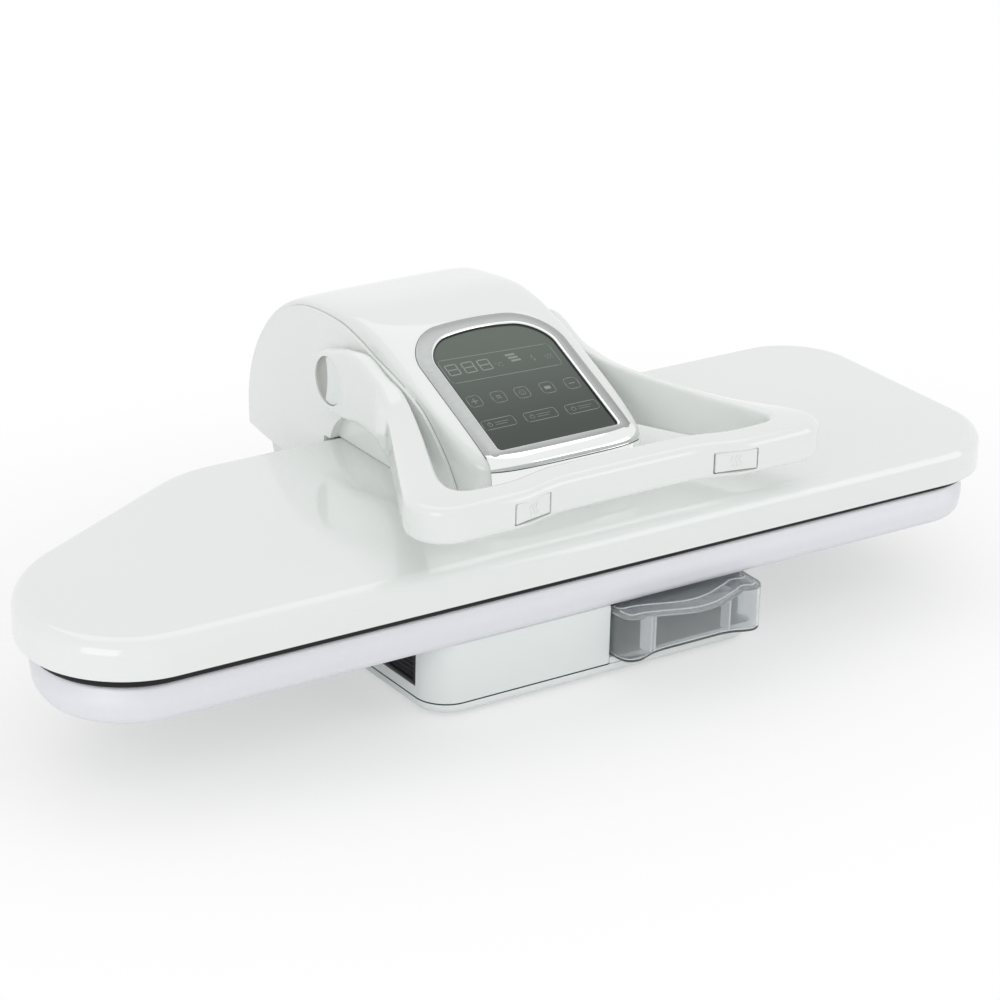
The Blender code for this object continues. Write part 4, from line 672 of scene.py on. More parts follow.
BLACK_PLASTIC = moulded(
    "black_moulded_plastic", tint=(0.012, 0.012, 0.013), shade=(0.022, 0.022, 0.024), cloud=40.0,
    clouding=0.8, roughness=0.42, spread=0.15, skin=2600.0, bump=0.00012, Specular_IOR_Level=0.2)
rim_low, rim_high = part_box("plate_rim")
rim_in = PLATE_INSET - RIM_OVERLAP
rim_rows = [press_ring(inward, z) for inward, z in (
    (RIM_INSET, rim_low.z), (RIM_INSET, rim_high.z), (rim_in, rim_high.z), (rim_in, rim_low.z))]
add_piece("plate_rim_strip", loft(rim_rows + rim_rows[:1]), BLACK_PLASTIC, "press", ["plate_rim"])

FELT = moulded(
    "needled_felt", tint=(0.80, 0.78, 0.71), shade=(0.66, 0.63, 0.55), cloud=160.0, clouding=0.8,
    roughness=0.95, spread=0.05, skin=1300.0, bump=0.0006)
mat_low, mat_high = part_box("insulation_mat")
mat_rows = edge_rings(press_ring, MAT_INSET, mat_low.z, MAT_EDGE, rising=False, steps=3)
mat_rows += edge_rings(press_ring, MAT_INSET, mat_high.z, MAT_EDGE, rising=True, steps=3)
mat = add_piece("felt_mat", solid(mat_rows), FELT, "press", ["insulation_mat"])


def window(low_z, high_z):
    """The shape of the opening in the press under the hood, between two heights."""
    return block((HOOD_X - WINDOW_WIDTH / 2, press_front + WINDOW_FRONT, low_z),
                 (HOOD_X + WINDOW_WIDTH / 2, press_front + WINDOW_BACK, high_z))


combine(mat, window(mat_low.z - WINDOW_REACH, mat_high.z + WINDOW_REACH))
BRASS = metal(
    "turned_brass", tint=(0.68, 0.52, 0.26), shade=(0.50, 0.37, 0.17), streak=(500, 60, 60), streaking=0.7,
    roughness=0.22, spread=0.2, bump=0.00004)
paint_nodes(["heating_element"], ZINC_STEEL)
paint_nodes(["thermostat"], BRASS)

# Press cover
# One long glossy white moulding with a round edge, screwed over the plate from inside. Its lower
# edge rises a little toward the nose, so the black line of the plate is wider there.

COVER_EDGE = 0.0133
COVER_WALL = 0.0028
COVER_STEPS = 14
COVER_GAP = 0.0003
COVER_LIFT = 0.0017
COVER_LIFT_START = 0.30
COVER_LIFT_END = 0.66

GLOSS_PLASTIC = moulded(
    "gloss_white_plastic", tint=(0.81, 0.835, 0.82), shade=(0.78, 0.81, 0.79), cloud=5.0, clouding=0.35,
    roughness=0.10, spread=0.05, skin=260.0, bump=0.00002, Coat_Weight=0.5, Coat_Roughness=0.05)
lip_row = press_ring(0, press_low.z)
for point in lip_row:
    along = ((point.x - nose) / PRESS_LENGTH - COVER_LIFT_START) / (COVER_LIFT_END - COVER_LIFT_START)
    along = min(1, max(0, along))
    point.z += COVER_GAP + COVER_LIFT * (1 - along * along * (3 - 2 * along))
cover_rows = [lip_row] + edge_rings(press_ring, 0, press_high.z, COVER_EDGE, rising=True, steps=COVER_STEPS)
cover = add_piece("press_cover_shell", loft(cover_rows, cap_last=True), GLOSS_PLASTIC, "press",
                  ["press_cover"])
give_wall(cover, COVER_WALL)
combine(cover, window(press_high.z - 2 * COVER_WALL, press_high.z + COVER_WALL))

# Vent
# A black louvre that snaps into the housing's left wall and lets warm air out. Its blades curve
# down and out, so that nothing drips into the base.

VENT_CORNER = 0.0030
VENT_CORNER_STEPS = 5
VENT_BAND = 0.0034
VENT_EDGE = 0.0008
VENT_BLADES = 6
BLADE_START = 0.25
BLADE_SHEET = 0.0013
BLADE_TAPER = 0.4
BLADE_DROP = 0.0046
BLADE_CURVE = 1.8
BLADE_STEPS = 6
EDGE_MIDDLE = 0.3


def soft_edge(edge):
    """Three places over a small edge: how far inward, and how far back from its face."""
    return [(0, edge), (edge * EDGE_MIDDLE, edge * EDGE_MIDDLE), (edge, 0)]


def standing(line, x):
    return [Vector((x, p.x, p.y)) for p in line]


vent_sides = rectangle(vent_low.y, vent_low.z, vent_high.y, vent_high.z)
vent_plan = [(0, vent_high.x)] + [(inward, vent_low.x + setback) for inward, setback in soft_edge(VENT_EDGE)]
vent_plan += [(VENT_BAND - VENT_EDGE, vent_low.x), (VENT_BAND, vent_low.x + VENT_EDGE),
              (VENT_BAND, vent_high.x)]
vent_rows = [standing(inner_line(vent_sides, [VENT_CORNER] * 4, inward, VENT_CORNER_STEPS), x)
             for inward, x in vent_plan]
vent = loft(vent_rows + vent_rows[:1])
blade_pitch = (vent_high.z - vent_low.z - 2 * VENT_BAND) / VENT_BLADES
for i in range(VENT_BLADES):
    top = vent_high.z - VENT_BAND - blade_pitch * (i + BLADE_START)
    upper, lower = [], []
    for step in range(BLADE_STEPS + 1):
        part = step / BLADE_STEPS
        x = vent_high.x - BLADE_SHEET - (vent_high.x - vent_low.x - BLADE_SHEET - VENT_EDGE) * part
        z = top - BLADE_DROP * part ** BLADE_CURVE
        upper.append((x, z))
        lower.append((x + BLADE_SHEET * BLADE_TAPER * part, z - BLADE_SHEET))
    solid([[(x, y, z) for x, z in upper + lower[::-1]]
           for y in (vent_low.y + VENT_BAND / 2, vent_high.y - VENT_BAND / 2)], vent)
add_piece("vent_louvre", vent, BLACK_PLASTIC, "base", ["vent_grille"])

# Tank shelf
# The ledge of the base on which the tank slides, level with the bottom of the bay.

GAP = 0.0003
SHELF_EDGE = 0.0008
SHELF_TOP_EDGE = 0.8 * SHELF_EDGE

shelf_low, shelf_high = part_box("tank_shelf")
shelf_corners = [
    (shelf_low.x, shelf_low.y), (shelf_high.x, shelf_low.y), (shelf_high.x, post_y - GAP),
    (bay_right - GAP, post_y - GAP), (bay_right - GAP, shelf_high.y), (shelf_low.x, shelf_high.y),
]
shelf_radii = (SHELF_EDGE, TRAY_FRONT_RADIUS, SHELF_EDGE, SHELF_EDGE, SHELF_EDGE, SHELF_EDGE)


def shelf_ring(inward, z):
    return at_height(inner_line(shelf_corners, shelf_radii, inward), z)


shelf_rows = edge_rings(shelf_ring, 0, shelf_low.z, SEAM_EDGE, rising=False, steps=2)
shelf_rows += edge_rings(shelf_ring, 0, shelf_high.z, SHELF_TOP_EDGE, rising=True, steps=3)
add_piece("tank_shelf_ledge", solid(shelf_rows), SATIN_PLASTIC, "base", ["tank_shelf"])

# Water tank
# A clear grey tank that slides out to the front to be filled, with a lobe at each corner to grip.
# Its lid carries on as a flange that bulges over the waist of the front.

TANK_WALL = 0.0022
TANK_LOBE = 0.0195
TANK_BULGE = 0.0205
TANK_BULGE_START = 0.14
TANK_BULGE_POWER = 0.8
TANK_FRONT_SHARES = [
    (0.000, 0.10), (0.006, 0.50), (0.030, 0.86), (0.070, 1.00), (0.120, 1.02), (0.180, 0.86),
    (0.240, 0.72), (0.320, 0.66), (0.420, 0.66), (0.520, 0.66), (0.620, 0.66), (0.720, 0.66),
    (0.800, 0.74), (0.860, 0.90), (0.910, 1.00), (0.950, 0.98), (0.985, 0.80), (1.000, 0.45),
]
TANK_FRONT_STEPS = 5
TANK_MITRE = 0.5
TANK_EDGE = 0.0022
LID_EDGE = 0.0009
LID_PLATE = 0.0024
LID_STEP_SETBACK = 0.040
LID_STEP_INSET = 0.010
BEAD_INSET = 0.0048
BEAD_SETBACKS = (0, 0.0150)
BEAD_WIDTH = 0.0008
BEAD_HEIGHT = 0.0010
BEAD_STEPS = 6
RIB_SHARES = (0.215, 0.245, 0.79)
RIB_FRONT_SHARE = 0.55
RIB_SHEET = 0.0018
RIB_DEPTH = 0.012
LAMP_TINT = (0.95, 0.96, 0.97, 1)
CLEAR_SHADE = 0.93


def smooth_line(points, steps):
    """Points along a Catmull-Rom curve through the given ones."""
    padded = [points[0]] + list(points) + [points[-1]]
    line = []
    for a, b, c, d in zip(padded, padded[1:], padded[2:], padded[3:]):
        for i in range(steps):
            t = i / steps
            line.append(0.5 * (2 * b + (c - a) * t + (2 * a - 5 * b + 4 * c - d) * t * t
                               + (3 * b - a - 3 * c + d) * t ** 3))
    line.append(points[-1])
    return line


def offset_line(line, distance, least):
    """A closed line moved inward, by no more than the distance over a least share at its corners."""
    moved = []
    for before, point, after in zip(line[-1:] + line, line, line[1:] + line[:1]):
        first, second = (point - before).normalized(), (after - point).normalized()
        side = Vector((-first.y, first.x))
        inside = (side + Vector((-second.y, second.x))).normalized()
        moved.append(point + inside * distance / max(least, inside.dot(side)))
    return moved


def tank_line(bulge, inward, setback=0.0):
    """Round the tank from its left back corner, moved inward, with or without the flange's bulge."""
    front = []
    for along, reach in TANK_FRONT_SHARES:
        part = max(0, (along - TANK_BULGE_START) / (1 - 2 * TANK_BULGE_START))
        swell = math.sin(math.pi * part) ** TANK_BULGE_POWER if 0 < part < 1 else 0
        front.append(Vector((tank_low.x + (tank_high.x - tank_low.x) * along,
                             house_low.y - TANK_LOBE * reach - TANK_BULGE * bulge * swell + setback)))
    line = [Vector((tank_low.x, tank_high.y))] + smooth_line(front, TANK_FRONT_STEPS)
    return offset_line(line + [Vector((tank_high.x, tank_high.y))], inward, TANK_MITRE)


def tank_ring(inward, z):
    return at_height(tank_line(0, inward), z)


def clear_plastic(name, tint, roughness, clearness):
    """Clear plastic that lets the lamps' light through."""
    material = moulded(name, tint, [part * CLEAR_SHADE for part in tint], cloud=24.0, clouding=0.6,
                       roughness=roughness, spread=0.05, skin=60.0, Transmission_Weight=clearness, IOR=1.46)
    tree = material.node_tree
    either_way = add_node(tree, "MixShader", {
        0: add_node(tree, "LightPath").outputs["Is Shadow Ray"], 1: tree.nodes["Principled BSDF"],
        2: add_node(tree, "BsdfTransparent", {"Color": LAMP_TINT})})
    feed(tree.nodes["Material Output"], {"Surface": either_way})
    return material


CLEAR_GREY = clear_plastic("clear_grey_plastic", (0.90, 0.92, 0.93), roughness=0.04, clearness=0.94)
FROSTED = clear_plastic("frosted_edge_plastic", (0.93, 0.94, 0.95), roughness=0.30, clearness=0.35)
LID_GREY = clear_plastic("clear_grey_lid", (0.84, 0.87, 0.89), roughness=0.06, clearness=0.80)
tank_floor = tank_low.z + TANK_WALL
tank_rows = edge_rings(tank_ring, 0, tank_low.z, TANK_EDGE, rising=False, steps=4)
tank_rows += [tank_ring(inward, z) for inward, z in (
    (0, tank_high.z), (TANK_WALL, tank_high.z), (TANK_WALL, tank_floor + TANK_EDGE / 2),
    (TANK_WALL + TANK_EDGE / 2, tank_floor))]
ribs = bmesh.new()
rib_y = house_low.y - TANK_LOBE * RIB_FRONT_SHARE
for part in RIB_SHARES:
    rib_x = tank_low.x + (tank_high.x - tank_low.x) * part
    sides = rectangle(rib_x - RIB_SHEET / 2, rib_y, rib_x + RIB_SHEET / 2, rib_y + RIB_DEPTH)
    solid([[(x, y, z) for x, y in sides] for z in (tank_floor + GAP, tank_high.z - GAP)], ribs)
add_piece("tank_ribs", ribs, FROSTED, "water_tank_unit")
add_piece("water_tank_shell", solid(tank_rows), CLEAR_GREY, "water_tank_unit", ["water_tank"])
lid_low, lid_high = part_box("tank_lid")
plate_top = lid_low.z + LID_PLATE
lid_plan = [(0, 0, lid_low.z)] + [(inward, 0, plate_top - drop) for inward, drop in soft_edge(LID_EDGE)]
lid_plan += [(LID_STEP_INSET, LID_STEP_SETBACK, plate_top),
             (LID_STEP_INSET + LID_EDGE, LID_STEP_SETBACK, lid_high.z - LID_EDGE),
             (LID_STEP_INSET + 2 * LID_EDGE, LID_STEP_SETBACK, lid_high.z)]
lid_rows = [at_height(tank_line(1, inward, setback), z) for inward, setback, z in lid_plan]
add_piece("tank_lid_plate", solid(lid_rows), LID_GREY, "water_tank_unit", ["tank_lid"])
beads = bmesh.new()
for setback in BEAD_SETBACKS:
    rows = []
    for step in range(BEAD_STEPS + 1):
        turn = math.pi * step / BEAD_STEPS
        rows.append(at_height(tank_line(1, BEAD_INSET - BEAD_WIDTH * math.cos(turn), setback)[2:-2],
                              plate_top - GAP + BEAD_HEIGHT * math.sin(turn)))
    solid(list(zip(*rows)), beads)
add_piece("tank_lid_beads", beads, FROSTED, "water_tank_unit")
paint_nodes(["tank_valve"], BLACK_PLASTIC)
paint_nodes(["valve_socket"], RUBBER_AND_SHADE)

# Rear column
# A satin white shell behind the base that hides the hinge bracket. Its back is round about the
# hinge, so that the hood's tail passes close over it as the press opens.

COLUMN_RADIUS = 0.106
COLUMN_FOOT = 0.020
COLUMN_WALL = 0.0026
COLUMN_CORNER = 0.007
COLUMN_CORNER_STEPS = 8
COLUMN_ROWS = 34

column_low, column_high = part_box("rear_column")
pin_low, pin_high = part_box("hinge_pin")
hinge = (pin_low + pin_high) / 2
column_radii = (0, 0, COLUMN_CORNER, COLUMN_CORNER)
column_rows = []
for i in range(COLUMN_ROWS + 1):
    z = column_low.z + (column_high.z - column_low.z) * i / COLUMN_ROWS
    reach_back = math.sqrt(max(0, COLUMN_RADIUS ** 2 - (z - hinge.z) ** 2))
    plan = rectangle(column_low.x, column_low.y, column_high.x,
                     min(column_high.y, hinge.y + max(COLUMN_FOOT, reach_back)))
    column_rows.append(at_height(outline(plan, column_radii, COLUMN_CORNER_STEPS), z))
column = add_piece("rear_column_shell", loft(column_rows), SATIN_PLASTIC, "base", ["rear_column"])
give_wall(column, COLUMN_WALL)

# Hinge and lift spring
# Two sheet brackets stand on the tray and hold a steel pin; two arms on brass bushes turn about it
# and carry the press. A coil round the pin takes the press's weight.

SPRING_STEEL = metal(
    "spring_steel", tint=(0.34, 0.34, 0.35), shade=(0.22, 0.22, 0.23), streak=(400, 90, 90), streaking=0.8,
    roughness=0.22, spread=0.2, bump=0.00004)
paint_nodes(("hinge_bracket_left", "hinge_bracket_right", "hinge_pin", "press_arm_left", "press_arm_right",
             "arm_tie_plate"), ZINC_STEEL)
paint_nodes(("hinge_bush_left", "hinge_bush_right"), BRASS)
paint_nodes(["lift_spring"], SPRING_STEEL)

# Hood
# A glossy white skin over the hinge: rounded crown in front, where the display sits, and a round
# back that turns about the hinge. Its sides meet the side covers in a fine seam.

HOOD_WIDTH = 0.173
HOOD_WALL = 0.0026
HOOD_FRONT = 0.0715
HOOD_TOP = 0.1145
HOOD_RADIUS = 0.1255
HOOD_SIDE_RADIUS = 0.1187
HOOD_FRONT_POWER = 4.0
HOOD_BACK_POWER = 5.0
HOOD_TAIL_ANGLE = math.radians(-10)
HOOD_TAIL_STEPS = 8
HOOD_TAIL_LEAD_SHARE = 0.35
HOOD_LINE_STEPS = 8
HOOD_CROWN_STEPS = 56
HOOD_SHARP_TURN = math.radians(50)
DISPLAY_SLOPE = math.radians(24)
DISPLAY_START_HEIGHT = 0.0440
DISPLAY_START_BACK = 0.0025
FRAME_WIDTH = 0.144
FRAME_LENGTH = 0.1655
FRAME_ARCH = 0.0100
FRAME_TOP_RADIUS = 0.040
FRAME_FOOT_RADIUS = 0.008
FRAME_FOOT_LIFT = 0.0056
FRAME_BAND = 0.0135
FRAME_CREST = 0.0025
FRAME_THICKNESS = 0.0062
FRAME_PROUD = 0.0012
FRAME_LONG_SIDE = 0.02
FRAME_SIDE_STEPS = 6
GLASS_FOOT_RADIUS = 0.004
HOOD_PROFILE_SHARES = [
    ((0.901, 0.000), (0.996, 0.000)),
    ((0.869, 0.124), (1.000, 0.141)),
    ((0.833, 0.229), (1.000, 0.264)),
    ((0.785, 0.342), (0.992, 0.360)),
    ((0.716, 0.473), (0.942, 0.424)),
    ((0.644, 0.578), (0.817, 0.545)),
    ((0.543, 0.663), (0.656, 0.700)),
    ((0.463, 0.714), (0.507, 0.842)),
    ((0.362, 0.770), (0.378, 0.945)),
    ((0.241, 0.845), (0.274, 0.990)),
    ((0.121, 0.888), (0.153, 0.997)),
]

hood_foot = press_high.z + GAP
hood_reach = hinge.y - (press_front + HOOD_FRONT)
display_origin = Vector((HOOD_X, press_front + HOOD_FRONT + DISPLAY_START_BACK,
                         press_high.z + DISPLAY_START_HEIGHT))
display_place = Matrix.Translation(display_origin) @ Matrix.Rotation(DISPLAY_SLOPE, 4, "X")
profiles = []
for which, radius in ((0, HOOD_SIDE_RADIUS), (1, HOOD_RADIUS)):
    line = [Vector((hinge.y - hood_reach * pair[which][0], hood_foot + HOOD_TOP * pair[which][1]))
            for pair in HOOD_PROFILE_SHARES]
    for i in range(HOOD_TAIL_STEPS):
        part = (i + HOOD_TAIL_LEAD_SHARE) / (HOOD_TAIL_STEPS - 1 + HOOD_TAIL_LEAD_SHARE)
        angle = math.radians(90) * (1 - part) + HOOD_TAIL_ANGLE * part
        line.append(Vector((hinge.y + radius * math.cos(angle), hinge.z + radius * math.sin(angle))))
    profiles.append(smooth_line(line, HOOD_LINE_STEPS))
side_profile, middle_profile = profiles


def hood_row(index, reach=1.0):
    """One row of hood points across X, rising from the side profile to the middle profile."""
    side, middle = side_profile[index], middle_profile[index]
    along = min(1, max(0, (side.x - display_origin.y) / FRAME_LENGTH))
    power = HOOD_FRONT_POWER + (HOOD_BACK_POWER - HOOD_FRONT_POWER) * along ** 3
    row = []
    for i in range(HOOD_CROWN_STEPS + 1):
        part = math.sin(math.radians(90) * (2 * i / HOOD_CROWN_STEPS - 1)) * reach
        spot = side.lerp(middle, max(0, 1 - abs(part) ** power) ** (1 / power))
        row.append(Vector((HOOD_X + part * (HOOD_WIDTH / 2 - GAP), spot.x, spot.y)))
    return row


def frame_line(inward, crest, z):
    """The display frame's outline in its own plane, moved inward, with round top corners."""
    half = FRAME_WIDTH / 2 - inward
    top = FRAME_LENGTH - inward - crest
    foot = FRAME_FOOT_LIFT + inward * (1 - FRAME_FOOT_LIFT / FRAME_BAND)
    radii = [max(radius - inward, GLASS_FOOT_RADIUS)
             for radius in (FRAME_FOOT_RADIUS, FRAME_FOOT_RADIUS, FRAME_TOP_RADIUS, FRAME_TOP_RADIUS)]
    line = outline(rectangle(-half, foot, half, top), radii)
    row = []
    for point, ahead in zip(line, line[1:] + line[:1]):
        steps = FRAME_SIDE_STEPS if (ahead - point).length > FRAME_LONG_SIDE else 1
        for k in range(steps):
            spot = point.lerp(ahead, k / steps)
            up = max(0, (spot.y - foot) / (top - foot))
            spot.y -= FRAME_ARCH * (spot.x / half) ** 2 * up ** 2
            row.append(display_place @ Vector((spot.x, spot.y, z)))
    return row


hood = add_piece("hood_shell", loft([hood_row(i) for i in range(len(side_profile))], closed=False),
                 GLOSS_PLASTIC, "press", ["hood_skin"], turn=HOOD_SHARP_TURN)
if hood.data.polygons[len(hood.data.polygons) // 2].normal.z < 0:
    hood.data.flip_normals()
skin_tree = BVHTree.FromPolygons([vert.co.copy() for vert in hood.data.vertices],
                                 [tuple(face.vertices) for face in hood.data.polygons])
give_wall(hood, HOOD_WALL)
combine(hood, solid([frame_line(-GAP, 0, sign * 4 * FRAME_THICKNESS) for sign in (-1, 1)]),
        turn=HOOD_SHARP_TURN)

# Side covers
# A domed disc on each side of the hood, flush with its skin behind a fine seam. A boss carries the
# handle's hub, and a round hollow below it clears the handle's arm.

SIDES = (("left", -1), ("right", 1))
SIDE_SHEET = 0.003
SIDE_EDGE = 0.0007
SIDE_MITRE = 0.4
DOME_HEIGHT = 0.010
DOME_MARGIN = 0.0012
DOME_RINGS = 26
DOME_STEPS = 160
DOME_TIP_SHARE = 0.004
ARCH_RADIUS = 0.0403
ARCH_STEPS = 128
ARCH_AHEAD_SHARE = 0.632
ARCH_DROP = 0.0085
PIVOT_AHEAD = 0.045
PIVOT_ABOVE = 0.074
HUB_SINK = 0.00125
HUB_RADIUS = 0.027
HUB_THICKNESS = 0.0081
BOSS_STEPS = 72
SHAFT_RADIUS = 0.006
SHAFT_STEPS = 40

pivot = hinge + Vector((0, -PIVOT_AHEAD, PIVOT_ABOVE))
hub_place = (HOOD_X, pivot.y, pivot.z)
cover_out = HOOD_WIDTH / 2 + SIDE_SHEET
hub_in = cover_out + DOME_HEIGHT - HUB_SINK
hub_out = hub_in + HUB_THICKNESS
far = 3 * HOOD_SIDE_RADIUS


def turned(profile, place, steps):
    """A body turned about the X line through a place, from points of distance along X and radius."""
    return solid([[(place[0] + along, place[1] + radius * math.cos(math.tau * k / steps),
                    place[2] + radius * math.sin(math.tau * k / steps)) for k in range(steps)]
                  for along, radius in profile])


def shaft_bore(near, far_out):
    return turned([(near, SHAFT_RADIUS + GAP), (far_out, SHAFT_RADIUS + GAP)], hub_place, SHAFT_STEPS)


tail_z = side_profile[-1].y
corner_y = press_front + PRESS_DEPTH + COVER_WALL / 4
side_ring = (side_profile + [Vector((corner_y, tail_z)), Vector((corner_y, hood_foot))])[::-1]
rim_radius = HOOD_SIDE_RADIUS - DOME_MARGIN
for side, sign in SIDES:
    far_x = HOOD_X + sign * cover_out
    rows = [standing(side_ring, HOOD_X + sign * HOOD_WIDTH / 2)]
    rows += [standing(offset_line(side_ring, inward, SIDE_MITRE), far_x - sign * setback)
             for inward, setback in soft_edge(SIDE_EDGE)]
    cover_side = add_piece("side_cover_" + side + "_moulding", solid(rows), GLOSS_PLASTIC, "press",
                           ["side_cover_" + side])
    profile = [(-sign * SIDE_SHEET / 2, rim_radius)]
    for i in range(DOME_RINGS):
        part = 1 - i / DOME_RINGS
        profile.append((sign * DOME_HEIGHT * (1 - part ** 2), rim_radius * part))
    profile.append((sign * DOME_HEIGHT, rim_radius * DOME_TIP_SHARE))
    dome = add_piece("dome_" + side, turned(profile, (far_x, hinge.y, hinge.z), DOME_STEPS), GLOSS_PLASTIC,
                     "press")
    combine(dome, turned([(-2 * DOME_HEIGHT, ARCH_RADIUS), (2 * DOME_HEIGHT, ARCH_RADIUS)],
                         (far_x, hinge.y - HOOD_SIDE_RADIUS * ARCH_AHEAD_SHARE, press_high.z - ARCH_DROP),
                         ARCH_STEPS))
    for high_y, high_z in ((pivot.y - HUB_RADIUS - 2 * GAP, hinge.z + far), (corner_y, hood_foot),
                           (hinge.y + far, tail_z)):
        combine(dome, block((far_x - 2 * DOME_HEIGHT, hinge.y - far, hinge.z - far),
                            (far_x + 2 * DOME_HEIGHT, high_y, high_z)))
    joined = bmesh.new()
    joined.from_mesh(dome.data)
    bpy.data.objects.remove(dome, do_unlink=True)
    combine(cover_side, joined, "UNION")
    boss = [(sign * along, HUB_RADIUS - 2 * GAP)
            for along in (HOOD_WIDTH / 2 + SIDE_SHEET / 2, hub_in - GAP)]
    combine(cover_side, turned(boss, hub_place, BOSS_STEPS), "UNION")
    combine(cover_side, shaft_bore(sign * HOOD_WIDTH / 4, sign * 2 * hub_out))

# Display
# A dark glass in a brushed metal frame with a bright bevel inside it, on a display board. The marks
# are printed behind the glass in pale grey: a temperature, level bars and plain touch fields.

GLASS_DROP = 0.0022
GLASS_THICKNESS = 0.0030
BEVEL_WIDTH = 0.0013
BEVEL_DROP = 0.0009
BEVEL_SHARES = (0.25, 0.5, 0.75, 1)
SHADE_RING_WIDTH = 0.0005
BAND_STEPS = 8
FRAME_ROUND = 0.0007
FRAME_LIP = 0.0007
RAY_START = 0.05
FRAME_ROUND_STEPS = 4
HAZE_SCALE = 30
HAZE_SPREAD = 0.04

BRUSHED = metal(
    "brushed_frame", tint=(0.40, 0.415, 0.41), shade=(0.29, 0.305, 0.30), streak=(40, 700, 700),
    streaking=0.5, roughness=0.30, spread=0.16, bump=0.00004)
CHROME = metal(
    "bright_chrome", tint=(0.86, 0.88, 0.87), shade=(0.74, 0.76, 0.75), streak=(60, 300, 300),
    streaking=0.25, roughness=0.05, spread=0.06)
frame_low = FRAME_PROUD - FRAME_THICKNESS
glass_top = FRAME_PROUD - GLASS_DROP
display_up = display_place.to_3x3() @ Vector((0, 0, 1))


def band_line(inward, drop, held=0):
    """A line round the frame's band: between the hood's skin, where it is held, and the flat face."""
    row = []
    for point in frame_line(inward, FRAME_CREST * inward / FRAME_BAND, 0):
        hit = skin_tree.ray_cast(point + display_up * RAY_START, -display_up)[0]
        skin = FRAME_PROUD if hit is None else (hit - point).dot(display_up) + FRAME_LIP
        skin = min(FRAME_PROUD, max(skin, frame_low + FRAME_ROUND))
        row.append(point + display_up * (skin * held + FRAME_PROUD * (1 - held) - drop))
    return row


bevel_start = FRAME_BAND - BEVEL_WIDTH - SHADE_RING_WIDTH
shade_ring_start = FRAME_BAND - SHADE_RING_WIDTH
band_rows = [frame_line(0, 0, frame_low)]
band_rows += [band_line(FRAME_ROUND * inward, FRAME_ROUND * drop, 1)
              for inward, drop in quarter(FRAME_ROUND_STEPS)]
for step in range(1, BAND_STEPS + 1):
    part = step / BAND_STEPS
    band_rows.append(band_line(FRAME_ROUND + (bevel_start - FRAME_ROUND) * part, 0, (1 - part) ** 2))
band_rows.append(band_line(bevel_start, FRAME_THICKNESS))
bevel_rows = [band_line(bevel_start, FRAME_THICKNESS), band_line(bevel_start, 0)]
bevel_rows += [band_line(bevel_start + BEVEL_WIDTH * part, BEVEL_DROP * part ** 2) for part in BEVEL_SHARES]
bevel_rows.append(band_line(bevel_start + BEVEL_WIDTH, FRAME_THICKNESS))
# A black ring lines the frame's inner wall down to the glass as painted shade.
shade_ring_rows = [band_line(shade_ring_start, FRAME_THICKNESS), band_line(shade_ring_start, BEVEL_DROP),
               band_line(FRAME_BAND, BEVEL_DROP), band_line(FRAME_BAND, FRAME_THICKNESS)]
for name, rows, material in (("display_frame_band", band_rows, BRUSHED),
                             ("display_frame_bevel", bevel_rows, CHROME),
                             ("display_painted_shade_ring", shade_ring_rows, RUBBER_AND_SHADE)):
    add_piece(name, loft(rows + rows[:1]), material, "press", ["chrome_frame"])

# The glass is painted darker towards its foot and lighter towards its head: painted light.
SMOKED_PAINTED_LIGHT, given = start_group("smoked_glass_painted_light", {
    "Color": (0.1, 0.1, 0.1, 1), "Shade": (0, 0, 0, 1), "Foot": 0.0, "Head": 1.0, "Roughness": 0.05},
    ("Color", "Roughness"))
where = add_node(SMOKED_PAINTED_LIGHT, "TexCoord").outputs["Object"]
painted_light_climb = add_node(SMOKED_PAINTED_LIGHT, "MapRange", {
    "Value": add_node(SMOKED_PAINTED_LIGHT, "SeparateXYZ", {"Vector": where}).outputs["Z"],
    "From Min": given["Foot"], "From Max": given["Head"]}, interpolation_type="SMOOTHSTEP")
haze = add_node(SMOKED_PAINTED_LIGHT, "TexNoise", {"Vector": where, "Scale": HAZE_SCALE})
end_group(SMOKED_PAINTED_LIGHT, {"Color": tinted(SMOKED_PAINTED_LIGHT, painted_light_climb, given["Shade"], given["Color"]),
                   "Roughness": maths(SMOKED_PAINTED_LIGHT, "MULTIPLY_ADD", haze, HAZE_SPREAD, given["Roughness"])})

pane_low, pane_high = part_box("display_glass")
GLASS = finish_from(
    "dark_green_glass", SMOKED_PAINTED_LIGHT,
    {"Color": (0.088, 0.112, 0.090, 1), "Shade": (0.022, 0.031, 0.024, 1), "Foot": pane_low.z,
     "Head": pane_high.z, "Roughness": 0.04}, Specular_IOR_Level=0.32)
glass_rows = [frame_line(FRAME_BAND + GAP, FRAME_CREST, z) for z in (glass_top - GLASS_THICKNESS, glass_top)]
add_piece("display_pane", solid(glass_rows), GLASS, "press", ["display_glass"])

# The places and sizes of the printed marks are in millimetres across and up the display's plane.

